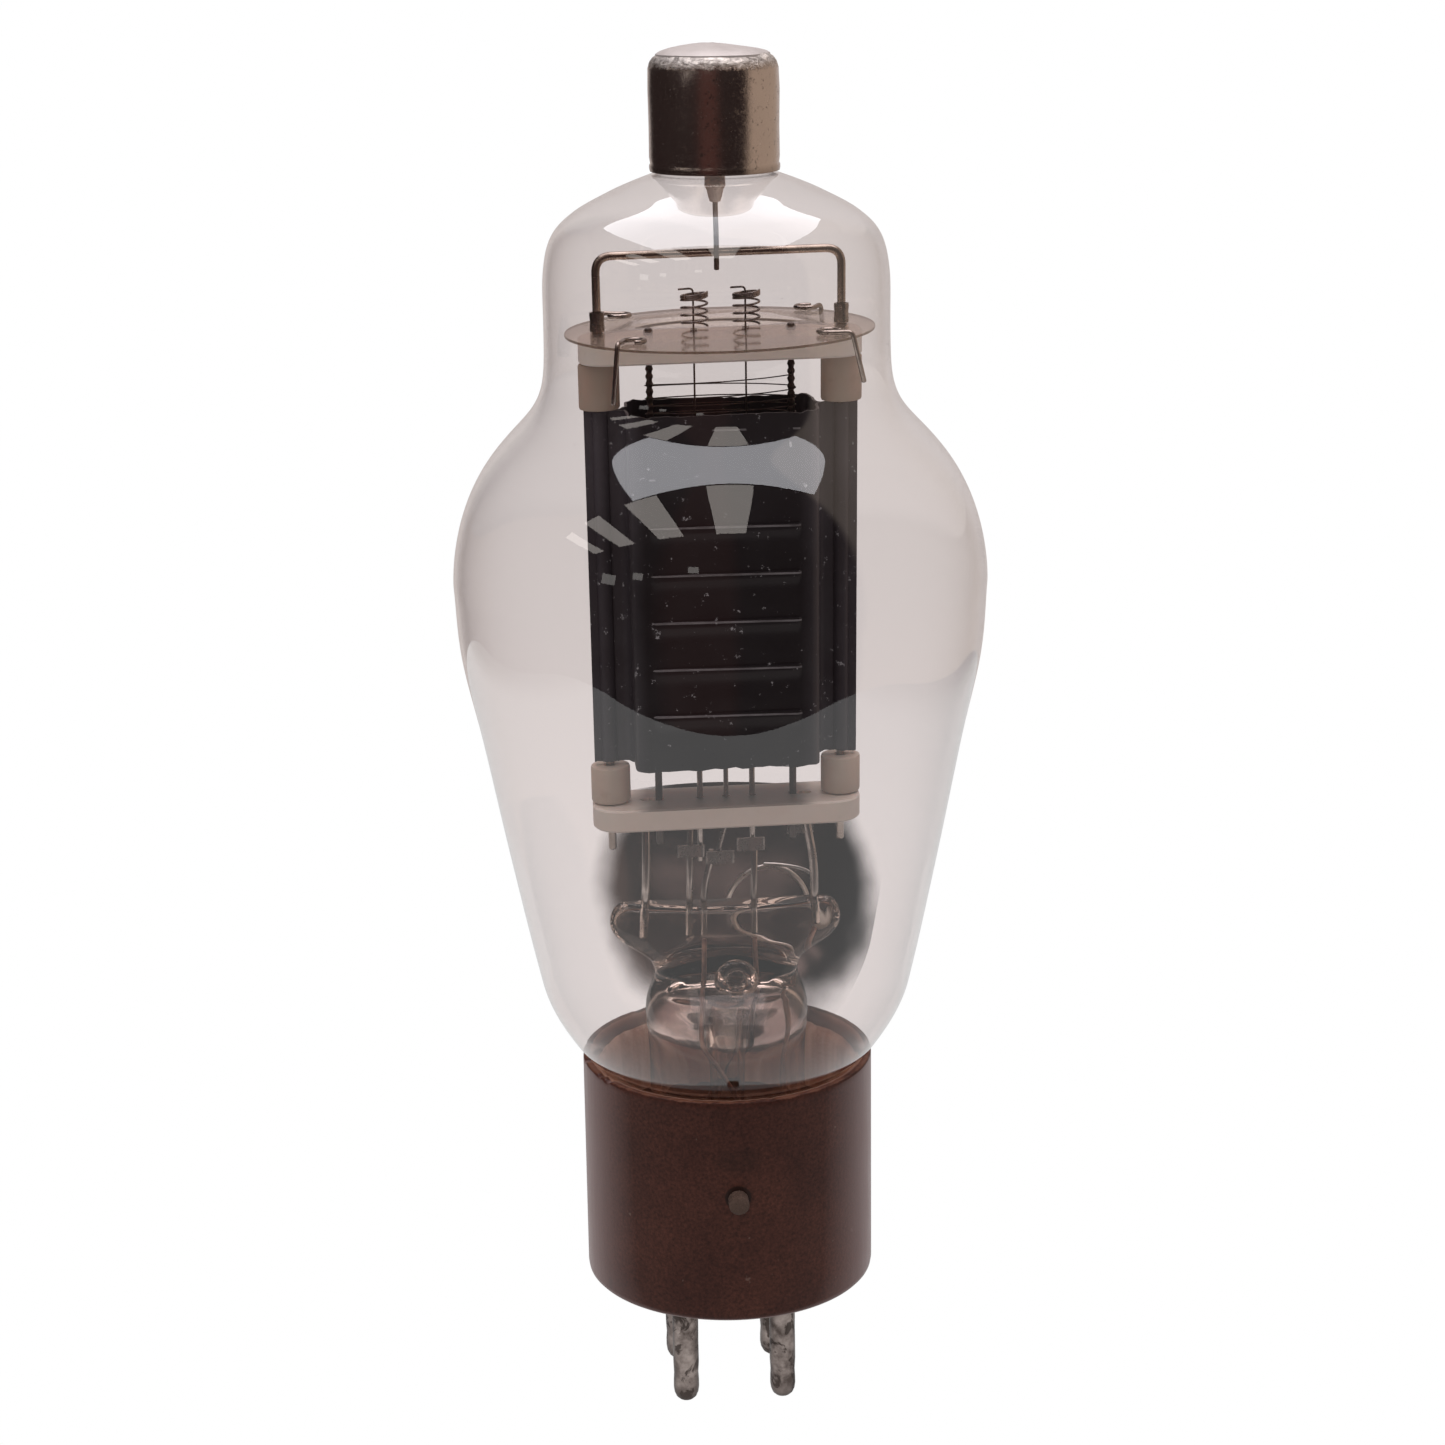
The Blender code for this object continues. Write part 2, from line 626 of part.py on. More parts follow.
def build_filament():
    foot, joint_z = {"left": -1, "right": 1}, 67.0
    for word, side in foot.items():
        start = 51.4 if side < 0 else 53.5
        wire(f"filament_post_{word}", [(side * POST_X, 0, start), (side * POST_X, 0, 68.4)], POST_RADIUS, "nickel")

        away = 0.55  # the strand lies beside its posts
        centre_away = away * -side
        path = [(side * POST_X, away, joint_z - 2), (side * POST_X, away, joint_z)]
        path += [(side * (APEX_X + 0.35), -0.5, APEX_Z - 0.6), (side * APEX_X, -0.5, APEX_Z)]
        path += [(side * (APEX_X - 0.35), -0.5, APEX_Z - 0.6), (0, centre_away, joint_z), (0, centre_away, joint_z - 2)]
        wire(f"filament_{word}", path, 0.1, "tungsten", 1)

        crook = [
            (side * APEX_X, -0.5 - 0.5 * math.cos(a), APEX_Z - 0.5 * math.sin(a))
            for a in (k * math.pi / 6 for k in range(7))
        ]
        arm_z = 119.9
        hook = [(side * HOOK_X - 1.7, -0.3, arm_z - 0.02), (side * HOOK_X, 0, arm_z), (side * HOOK_X, 0, 104.0)]
        hook += [(side * APEX_X, 0, 102.6)] + crook[::-1]
        wire(f"filament_hook_{word}", rounded_path(hook, 0.5, 3), 0.12, "tungsten", 1)

        coil, turns, per_turn = 1.4, 5.5, 10
        low, high = MICA[1] + 0.25, 119.45
        count = int(turns * per_turn)
        spring = []
        for k in range(count + 1):
            angle = 2 * math.pi * k / per_turn
            height = low + (high - low) * k / count
            spring.append((side * HOOK_X + coil * math.cos(angle), coil * math.sin(angle), height))
        wire(f"tension_spring_{word}", spring, 0.12, "tungsten", 0)
    tap = [(-1.0, 0, 51.3), (-1.0, 0, 52.9), (0, 0, 56.4), (0, 0, 68.4)]
    wire("filament_post_centre", rounded_path(tap, 1.2, 3), 0.3, "nickel")


def build_bulb_springs():
    """Four wires, each with an eye on the mica and a leg that bears on the inside of the dome."""
    eye, thick = 1.2, 0.2
    flat = MICA[1] + thick + 0.12
    places = {
        "front_left": ((-10.1, -10.6), (-11.95, -13.2), (-12.6, -13.35, 109.1)),
        "front_right": ((11.6, -8.7), (13.95, -11.1), (15.4, -10.0, 110.0)),
        "rear_left": ((-11.0, 10.6), (-13.3, 11.9), (-13.8, 12.1, 110.0)),
        "rear_right": ((10.9, 11.9), (12.7, 12.5), (13.2, 12.75, 110.0)),
    }
    for word, (centre, bend, foot) in places.items():
        towards = math.atan2(bend[1] - centre[1], bend[0] - centre[0])
        angles = [towards + math.radians(a) for a in range(40, 325, 35)]
        loop = [(centre[0] + eye * math.cos(a), centre[1] + eye * math.sin(a), flat) for a in angles]
        over = rounded_path([loop[-1], (*bend, flat + 0.15), foot], 0.6, 4)
        wire(f"bulb_spring_{word}", loop[:-1] + over, thick, "nickel", 1)


# ---------------------------------------------------------------- anode cap


def build_cap():
    r, top, wall = CAP_RADIUS, CAP_TOP, CAP_WALL
    recess, solder_r = 0.15, 3.7  # the solder lies in a shallow dish, so the rim around it is a flat ring
    profile = [(0.9, top - recess), (solder_r, top - recess), (solder_r, top), (5.6, top), (6.6, top - 0.35)]
    profile += [(7.2, top - 1.0), (r, top - 2.0), (r, CAP_BOTTOM), (r - wall, CAP_BOTTOM), (r - wall, top - 2.1)]
    profile += [(6.5, top - 1.2), (5.6, top - wall - recess), (0.9, top - wall - recess)]
    turned("plate_cap", profile, "cap_metal", segments=36, closed=True)
    foot, rise = top - recess + 0.12, top + 0.55
    dome = [(0.5, foot), (solder_r - FIT, foot), (2.8, top + 0.35), (1.5, rise), (0.5, rise)]
    turned("cap_solder", dome, "solder", segments=24, closed=True)
    cement = [(5.95, 135.2), (6.2, 134.6), (6.8, 134.4), (6.8, 140.6), (5.6, 140.6), (5.85, 136.4)]
    turned("cap_cement", cement, "cement", segments=28, closed=True)
    bore = 0.3 + 0.1
    bead = [(bore, 129.6), (0.7, 129.8), (1.1, 131.2), (1.2, 133.0), (1.2, 142.0), (0.8, 142.6), (bore, 142.6)]
    turned("lead_seal", bead, "seal_glass", segments=16, closed=True)
    drop = [(0, 0, top + 0.4), (0, 0, 128.8), (0, -1.05, 126.2), (0, -1.05, 122.1)]
    wire("anode_lead", rounded_path(drop, 1.2), 0.3, "tungsten")


def build_valve():
    build_base()
    build_pins()
    build_bulb()
    build_stem()
    build_stem_leads()
    build_straps()
    build_getter()
    build_insulators()
    build_anode()
    build_grid()
    build_filament()
    build_bulb_springs()
    build_cap()


clear_scene()
MATERIALS = make_materials()
build_valve()
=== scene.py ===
"""A power triode valve with a top cap: its looks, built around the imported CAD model.

Lengths in this file are millimetres until they reach a mesh, which is in metres. The frame is the
CAD's: +Z up the valve's axis, the bayonet pin at -Y, the origin under the base.
"""

import math

import bmesh
import bpy
from mathutils import Matrix, Vector, noise


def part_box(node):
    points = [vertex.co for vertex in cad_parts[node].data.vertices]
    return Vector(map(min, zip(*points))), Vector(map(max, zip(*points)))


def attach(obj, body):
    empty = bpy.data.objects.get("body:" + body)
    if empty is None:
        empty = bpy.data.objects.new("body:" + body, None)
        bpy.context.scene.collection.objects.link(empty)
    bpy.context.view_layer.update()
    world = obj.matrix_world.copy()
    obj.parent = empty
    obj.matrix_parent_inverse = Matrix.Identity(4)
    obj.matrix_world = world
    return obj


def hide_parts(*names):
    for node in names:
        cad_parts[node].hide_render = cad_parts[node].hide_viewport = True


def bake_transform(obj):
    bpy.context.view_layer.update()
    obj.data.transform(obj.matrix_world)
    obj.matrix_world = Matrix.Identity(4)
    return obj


MM = 0.001
ROOT = "valve"
LOOKS = {}
SIDES = (("left", -1), ("right", 1))
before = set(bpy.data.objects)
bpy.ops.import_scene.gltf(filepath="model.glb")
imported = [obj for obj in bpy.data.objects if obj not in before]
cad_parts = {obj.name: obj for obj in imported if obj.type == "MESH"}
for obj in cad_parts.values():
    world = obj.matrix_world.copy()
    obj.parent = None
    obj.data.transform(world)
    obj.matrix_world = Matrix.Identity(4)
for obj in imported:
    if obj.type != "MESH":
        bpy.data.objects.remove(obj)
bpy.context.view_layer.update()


def box_mm(node):
    """A CAD node's lowest and highest corners, in millimetres."""
    low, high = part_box(node)
    return Vector(low) / MM, Vector(high) / MM


# ---------------------------------------------------------------- sizes, read from the CAD where it has them

BASE_R = box_mm("base_shell")[1].x
BASE_TOP = box_mm("base_shell")[1].z
CAP_R = box_mm("plate_cap")[1].x
CAP_LOW = box_mm("plate_cap")[0].z
CAP_TOP = box_mm("plate_cap")[1].z
PIN_END = box_mm("contact_pin_1")[0].z
MICA_LOW, MICA_TOP = box_mm("mica_disc")[0].z, box_mm("mica_disc")[1].z
MICA_R = box_mm("mica_disc")[1].x
ANODE_LOW, ANODE_TOP = box_mm("anode_front")[0].z, box_mm("anode_front")[1].z
YOKE_TOP = box_mm("anode_yoke")[1].z
ROD_X = 13.85
GRID_X = 8.1
HOOK_X = 2.95
POST_X = 3.15
APEX_X = 1.6
APEX_Z = 100.9
NECK_R = 14.8
BULB_R = 30.94
SHOULDER_R = 19.7
BULB_WALL = 0.8
ROD_R = 0.475
ROD_HOLE, GRID_HOLE, HOOK_HOLE = 0.62, 0.57, 0.4
FIRST_LEDGE, LEDGE_PITCH = 71.1, 5.55
UPPER_TRIM = 0.75  # the upper ceramic is this much thinner than the CAD's, and its bushings this much taller
PIN_X, PIN_Y = 5.95, 5.55
SHEET_LEFT, SHEET_BACK = 22, 70  # how far the paper sheet's middle lies from the axis

# The photo's camera: turn about the axis, height, distance from the axis, tilt down and roll.
CAMERA = {"azimuth": -3.5, "height": 163.9, "distance": 341.4, "pitch": 15.557, "roll": 0.815}
LENS = 74.93

# The mount sits a little askew in its bulb: nudged to +X, its +X side higher. The stem holds it straight up to
# STEM_HOLDS, and above that the shift comes in over SHIFT_OVER.
MOUNT_X = 0.3
MOUNT_LIFT, MOUNT_TILT = 0.45, 0.016
STEM_HOLDS, SHIFT_OVER = 44, 10
LEDGE_SHIFT = 0.36
MOUNT_PIECES = ("anode_front", "anode_rear", "anode_rod", "anode_yoke", "yoke_sleeve", "upper_ceramic", "lower_ceramic")
MOUNT_PIECES += ("bushing", "mica", "bulb_spring", "tension", "filament", "grid", "support_rod", "strap", "getter_ring")
MOUNT_PIECES += ("getter_strut",)


def settled(point):
    """Where a point of a straight mount, in millimetres, lies in this one."""
    share = min(1.0, max(0.0, (point.z - STEM_HOLDS) / SHIFT_OVER))
    share = share * share * (3 - 2 * share)
    spread = 1 + 0.0004 * (point.z - 105)
    lift = MOUNT_LIFT - 0.3 * (point.z - 58) / 57 + MOUNT_TILT * point.x
    return Vector((point.x * (1 + (spread - 1) * share) + MOUNT_X * share, point.y, point.z + lift * share))


def settle(obj):
    if obj.name.startswith(MOUNT_PIECES):
        for vertex in obj.data.vertices:
            vertex.co = settled(vertex.co / MM) * MM


# ---------------------------------------------------------------- mesh tools


def link(name, data):
    """Puts an object with this data in the scene."""
    obj = bpy.data.objects.new(name, data)
    bpy.context.scene.collection.objects.link(obj)
    return obj


def shade(mesh, sharp):
    """Smooth shading, apart from edges steeper than an angle in degrees."""
    mesh.shade_smooth()
    mesh.set_sharp_from_angle(angle=math.radians(sharp))


def new_object(name, verts, faces, smooth=True, sharp=40):
    """Makes a mesh object from millimetre points."""
    mesh = bpy.data.meshes.new(name)
    mesh.from_pydata([tuple(c * MM for c in v) for v in verts], [], faces)
    mesh.validate()
    obj = link(name, mesh)
    if smooth:
        shade(mesh, sharp)
    return obj


def finish_piece(obj, look, slot, *nodes, body=ROOT):
    """Gives a piece its material, its body and the CAD nodes that it stands for; the slot argument is not used."""
    settle(obj)
    obj.data.materials.clear()
    obj.data.materials.append(LOOKS[look])
    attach(obj, body)
    if nodes:
        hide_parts(*nodes)
    return obj


def polar(r, angle):
    return r * math.cos(angle), r * math.sin(angle)


def circle(count):
    """Angles once round, in equal steps."""
    return [2 * math.pi * k / count for k in range(count)]


def bands(rows, columns, start=0, wrap=True, loop=False):
    """Quads between rows of points. wrap makes each row a ring, and loop joins the last row to the first."""
    faces = []
    for i in range(rows if loop else rows - 1):
        low, high = start + i * columns, start + (i + 1) % rows * columns
        for k in range(columns if wrap else columns - 1):
            j = (k + 1) % columns
            faces.append((low + k, low + j, high + j, high + k))
    return faces


def closed_tube(rows, columns, start=0):
    """The bands between rings, and a face over each end."""
    last = start + (rows - 1) * columns
    ends = [tuple(range(start, start + columns))[::-1], tuple(range(last, last + columns))]
    return bands(rows, columns, start) + ends


def catmull(knots, per_span):
    """A smooth curve through the knots, with per_span points from each to the next."""
    knots = [Vector(k) for k in knots]
    ends = [2 * knots[0] - knots[1]] + knots + [2 * knots[-1] - knots[-2]]
    points = []
    for a, b, c, d in zip(ends, ends[1:], ends[2:], ends[3:]):
        for step in range(per_span):
            t = step / per_span
            points.append(
                0.5 * (2 * b + (c - a) * t + (2 * a - 5 * b + 4 * c - d) * t**2 + (3 * b - a - 3 * c + d) * t**3)
            )
    return points + [knots[-1]]


def rounded_path(points, radius, steps=6):
    """A polyline through the points with each corner replaced by a short curve."""
    points = [Vector(p) for p in points]
    path = [points[0]]
    for before, corner, after in zip(points, points[1:], points[2:]):
        reach = min(radius, (corner - before).length * 0.48, (after - corner).length * 0.48)
        start = corner + (before - corner).normalized() * reach
        end = corner + (after - corner).normalized() * reach
        for step in range(steps + 1):
            t = step / steps
            path.append(start.lerp(corner, t).lerp(corner.lerp(end, t), t))
    path.append(points[-1])
    return path


def lathe(name, profile, segments, closed=False, centre=(0, 0, 0), warp=None, sharp=40):
    """Turns (radius, height) points about the axis. Closed profiles are rings, and open ones run axis to axis."""
    verts, faces, rings = [], [], []
    for r, z in profile:
        if r < 1e-6 and not closed:
            rings.append([len(verts)] * segments)
            verts.append(Vector((0, 0, z)))
            continue
        ring = []
        for angle in circle(segments):
            point = Vector((*polar(r, angle), z))
            ring.append(len(verts))
            verts.append(warp(point, angle) if warp else point)
        rings.append(ring)
    pairs = list(zip(rings, rings[1:] + rings[:1])) if closed else list(zip(rings, rings[1:]))
    for low, high in pairs:
        for i in range(segments):
            j = (i + 1) % segments
            quad = [low[i], low[j], high[j], high[i]]
            quad = [v for k, v in enumerate(quad) if v not in quad[:k]]
            if len(quad) > 2:
                faces.append(quad)
    offset = Vector(centre)
    obj = new_object(name, [v + offset for v in verts], faces, sharp=sharp)
    face_out(obj)
    return obj


def face_out(obj):
    """Turns every face of a closed mesh outward."""
    bm = bmesh.new()
    bm.from_mesh(obj.data)
    bmesh.ops.recalc_face_normals(bm, faces=bm.faces)
    bm.to_mesh(obj.data)
    bm.free()


def frames_along(path):
    """A direction and two cross directions at each point, turned as little as possible between points."""
    tangents = []
    for i in range(len(path)):
        ahead, behind = path[min(i + 1, len(path) - 1)], path[max(i - 1, 0)]
        tangents.append((ahead - behind).normalized())
    side = tangents[0].orthogonal().normalized()
    found = []
    for tangent in tangents:
        side = (side - tangent * side.dot(tangent)).normalized()
        found.append((tangent, side, tangent.cross(side)))
    return found


ROUND_END = ((0.0, 0.55), (0.15, 0.86), (0.45, 1.0))  # (distance from the end, radius), as shares of the radius


def tube(name, path, radius, sides, round_ends=True):
    """A wire along a path. radius is a number, or a function of the share of the way along."""
    path = [Vector(p) for p in path]
    width = radius if callable(radius) else (lambda t: radius)
    verts, stations = [], []
    count = len(path) - 1
    for i, (point, (tangent, side, up)) in enumerate(zip(path, frames_along(path))):
        r = width(i / count)
        if i == 0 and round_ends:
            stations += [(point + tangent * r * k, side, up, r * s) for k, s in ROUND_END]
        elif i == count and round_ends:
            stations += [(point - tangent * r * k, side, up, r * s) for k, s in reversed(ROUND_END)]
        else:
            stations.append((point, side, up, r))
    for point, side, up, r in stations:
        verts += [point + side * (r * math.cos(a)) + up * (r * math.sin(a)) for a in circle(sides)]
    return new_object(name, verts, closed_tube(len(stations), sides), sharp=60)


def ring_tube(name, points, radius, sides):
    """A closed loop of wire."""
    path = [Vector(p) for p in points]
    verts = []
    for i, point in enumerate(path):
        tangent = (path[(i + 1) % len(path)] - path[i - 1]).normalized()
        side = tangent.cross(Vector((0, 1, 0))).normalized()
        up = tangent.cross(side)
        verts += [point + side * (radius * math.cos(a)) + up * (radius * math.sin(a)) for a in circle(sides)]
    obj = new_object(name, verts, bands(len(path), sides, loop=True))
    face_out(obj)
    return obj


def plate(name, outline, low, high, bevel, holes=()):
    """A flat piece from a closed (x, y) outline with softened edges. Holes are (x, y, radius)."""
    inner = inset(outline, bevel)
    rings = [(inner, low), (outline, low + bevel), (outline, high - bevel), (inner, high)]
    verts = [(x, y, z) for ring, z in rings for x, y in ring]
    obj = new_object(name, verts, closed_tube(len(rings), len(outline)), sharp=30)
    if holes:
        drill(obj, holes, low, high)
    return obj


def inset(outline, amount):
    """The outline moved inwards, for an outline that runs anticlockwise."""
    points, count = [], len(outline)
    for i in range(count):
        before, here, after = Vector(outline[i - 1]), Vector(outline[i]), Vector(outline[(i + 1) % count])
        along = (after - before).normalized()
        points.append(tuple(here + Vector((-along.y, along.x)) * amount))
    return points


def drill(obj, holes, low, high, sides=24):
    """Cuts round vertical holes right through a piece, then applies the cut."""
    verts, faces = [], []
    for x, y, r in holes:
        faces += closed_tube(2, sides, start=len(verts))
        verts += [(x + r * math.cos(a), y + r * math.sin(a), z) for z in (low - 1, high + 1) for a in circle(sides)]
    subtract(obj, new_object(obj.name + "_cutter", verts, faces, smooth=False))


def apply_modifiers(obj):
    """Gives the object the mesh that its modifiers make."""
    graph = bpy.context.evaluated_depsgraph_get()
    mesh = bpy.data.meshes.new_from_object(obj.evaluated_get(graph))
    obj.modifiers.clear()
    obj.data = mesh


def subtract(obj, cutter):
    """Cuts one object out of another, and removes it."""
    modifier = obj.modifiers.new("cut", "BOOLEAN")
    modifier.operation = "DIFFERENCE"
    modifier.solver = "EXACT"
    modifier.object = cutter
    apply_modifiers(obj)
    bpy.data.objects.remove(cutter, do_unlink=True)


def rounded_rectangle(half_x, half_y, radius, steps=8):
    """An anticlockwise (x, y) outline round the origin."""
    points = []
    for quadrant, (sx, sy) in enumerate([(1, 1), (-1, 1), (-1, -1), (1, -1)]):
        cx, cy = sx * (half_x - radius), sy * (half_y - radius)
        for step in range(steps + 1):
            angle = math.pi / 2 * (quadrant + step / steps)
            points.append((cx + radius * math.cos(angle), cy + radius * math.sin(angle)))
    return points


def offsets(r, z, *steps):
    """Profile points given as steps from one (radius, height) point."""
    return [(r + out, z + up) for out, up in steps]


def rough(point, scale, seed):
    """Smooth noise from -1 to 1 at a point in millimetres."""
    return noise.noise(Vector(point) / scale + Vector((seed, seed * 1.7, -seed)))


# ---------------------------------------------------------------- material tools


class Value:
    """A number or colour in a shader. Each operator on it adds one Math node, so node maths reads as sums."""

    def __init__(self, shader, socket):
        self.shader, self.socket = shader, socket

    def clamped(self):
        self.socket.node.use_clamp = True
        return self


def math_node(operation, swapped=False):
    def method(self, other=0.0):
        return self.shader.math(operation, *((other, self) if swapped else (self, other)))

    return method


OPERATORS = {"add": "ADD", "sub": "SUBTRACT", "mul": "MULTIPLY", "truediv": "DIVIDE", "pow": "POWER"}
for word, operation in OPERATORS.items():
    setattr(Value, f"__{word}__", math_node(operation))
    setattr(Value, f"__r{word}__", math_node(operation, swapped=True))
Value.__lt__, Value.__gt__, Value.__abs__ = map(math_node, ("LESS_THAN", "GREATER_THAN", "ABSOLUTE"))


class Shader:
    """A small helper that adds and links shader nodes."""

    def __init__(self, name, world=None):
        self.block = world or bpy.data.materials.new(name)
        self.block.use_nodes = True
        self.tree = self.block.node_tree
        self.tree.nodes.clear()
        self.output = self.tree.nodes.new("ShaderNodeOutput" + ("World" if world else "Material"))
        self.coords = self.tree.nodes.new("ShaderNodeTexCoord").outputs["Object"]

    def add(self, kind, settings=None, **inputs):
        node = self.tree.nodes.new("ShaderNode" + kind)
        for key, value in (settings or {}).items():
            setattr(node, key, value)
        for key, value in inputs.items():
            self.put(node, key.replace("_", " "), value)
        return node

    def put(self, node, key, value):
        socket = node.inputs[int(key)] if key.isdigit() else node.inputs[key]
        value = value.socket if isinstance(value, Value) else value
        if isinstance(value, bpy.types.NodeSocket):
            self.tree.links.new(value, socket)
        else:
            socket.default_value = value

    def math(self, operation, a, b=0.0):
        node = self.add("Math", {"operation": operation})
        self.put(node, "0", a)
        self.put(node, "1", b)
        return Value(self, node.outputs[0])

    def noise(self, per_mm, detail=4.0, roughness=0.55, distortion=0.0, stretch=None):
        """Noise with about per_mm features to a millimetre."""
        coords = self.coords
        if stretch:
            coords = self.add("Mapping", Vector=coords, Scale=stretch).outputs[0]
        node = self.add(
            "TexNoise", Vector=coords, Scale=per_mm / MM, Detail=detail, Roughness=roughness, Distortion=distortion
        )
        return Value(self, node.outputs["Fac"])

    def ramp(self, value, *stops, ease="LINEAR"):
        node = self.add("ValToRGB", Fac=value)
        node.color_ramp.interpolation = ease
        elements = node.color_ramp.elements
        while len(elements) < len(stops):
            elements.new(0.5)
        for element, (place, colour) in zip(elements, stops):
            element.position = place
            element.color = (*colour, 1.0) if isinstance(colour, tuple) else (colour, colour, colour, 1.0)
        return Value(self, node.outputs["Color"])

    def rise(self, value, low, high):
        """0 up to low, and 1 from high."""
        return self.ramp(value, (low, 0.0), (high, 1.0))

    def fall(self, value, low, high):
        """1 up to low, and 0 from high."""
        return self.ramp(value, (low, 1.0), (high, 0.0))

    def mix(self, factor, a, b, blend="MIX"):
        node = self.add("Mix", {"data_type": "RGBA", "blend_type": blend})
        self.put(node, "0", factor)
        for place, value in (("6", a), ("7", b)):
            self.put(node, place, (*value, 1.0) if isinstance(value, tuple) else value)
        return Value(self, node.outputs[2])

    def bump(self, height, strength, distance_mm):
        return self.add("Bump", Height=height, Strength=strength, Distance=distance_mm * MM).outputs[0]

    def split(self, vector=None):
        """The three parts of a vector, or of the point in metres."""
        return [Value(self, part) for part in self.add("SeparateXYZ", Vector=vector or self.coords).outputs]

    def place(self):
        """The point in millimetres."""
        return [part * (1 / MM) for part in self.split()]

    def height(self):
        """The point's height in millimetres."""
        return self.place()[2]

    def facing(self):
        return Value(self, self.add("LayerWeight", Blend=0.5).outputs["Facing"])

    def upright(self):
        """How far the surface faces up, from -1 to 1."""
        return self.split(self.add("TexCoord").outputs["Normal"])[2]

    def blend(self, factor, first, second):
        """The first shader, covered by the second as far as the factor says."""
        node = self.add("MixShader")
        for place, value in (("0", factor), ("1", first), ("2", second)):
            self.put(node, place, value)
        return node.outputs[0]

    def principled(self, **inputs):
        node = self.add("BsdfPrincipled")
        for key, value in inputs.items():
            if isinstance(value, tuple) and len(value) == 3:
                value = (*value, 1.0)
            self.put(node, key.replace("_", " "), value)
        return node.outputs[0]

    def done(self, shader):
        self.tree.links.new(shader, self.output.inputs["Surface"])
        return self.block


def bulb_glass():
    """Thin blown glass, as one sheet: it mirrors by angle and lets the rest straight through, tinted."""
    s = Shader("bulb_glass")
    facing = s.facing()
    mirror = (facing ** 3.9 * 0.92 + 0.078).clamped()
    smoke = s.ramp(s.height() * 0.01, (0.55, (0.878, 0.834, 0.826)), (0.88, (0.832, 0.792, 0.784)))
    clear = s.add("BsdfTransparent", Color=smoke).outputs[0]
    gloss = s.add("BsdfGlossy", Color=(1, 1, 1, 1), Roughness=0.0).outputs[0]
    glass = s.blend(mirror, clear, gloss)
    specks = s.rise(s.noise(1.1, 6.0, 0.7), 0.735, 0.76)
    dirt = s.add("BsdfDiffuse", Color=(0.16, 0.13, 0.12, 1.0)).outputs[0]
    dusty = s.blend(specks * 0.55, glass, dirt)
    return s.done(dusty)


def solid_glass(name, colour):
    """Thick glass that bends light, and lets lamplight through to what is inside."""
    s = Shader(name)
    facing = s.facing()
    depth = s.ramp(facing, (0.45, 1.0), (0.9, 0.6))
    tint = s.ramp(s.height() * 0.01, (0.27, tuple(c ** 0.4 for c in colour)), (0.36, colour))
    depth = s.mix(1.0, depth, tint, "MULTIPLY")
    wavy = s.bump(s.noise(0.16, 1.0, 0.4, 0.2), 0.5, 0.5)
    glass = s.add("BsdfGlass", Color=depth, Roughness=0.0, IOR=1.52, Normal=wavy).outputs[0]
    clear = s.add("BsdfTransparent", Color=(*colour, 1.0)).outputs[0]
    both = s.blend(s.add("LightPath").outputs["Is Shadow Ray"], glass, clear)
    return s.done(both)


def mica_sheet():
    """Clear mica with a brown stain, a mirror at low angles and dark at its cut edge."""
    s = Shader("mica_sheet")
    facing = s.facing()
    mirror = (facing ** 5.0 * 0.9 + 0.05).clamped()
    stain = s.mix(s.noise(0.12, 5.0, 0.6), (0.90, 0.845, 0.80), (0.96, 0.925, 0.90))
    clear = s.add("BsdfTransparent", Color=stain).outputs[0]
    up = abs(s.upright())
    haze = s.add("BsdfDiffuse", Color=s.mix(up < 0.5, (0.55, 0.49, 0.44), (0.16, 0.10, 0.07))).outputs[0]
    body = s.blend((up < 0.5) * 0.65 + 0.1, clear, haze)
    gloss = s.add("BsdfGlossy", Color=(1, 1, 1, 1), Roughness=0.06, Normal=s.bump(s.noise(0.4), 0.05, 0.1)).outputs[0]
    sheet = s.blend(mirror, body, gloss)
    return s.done(sheet)


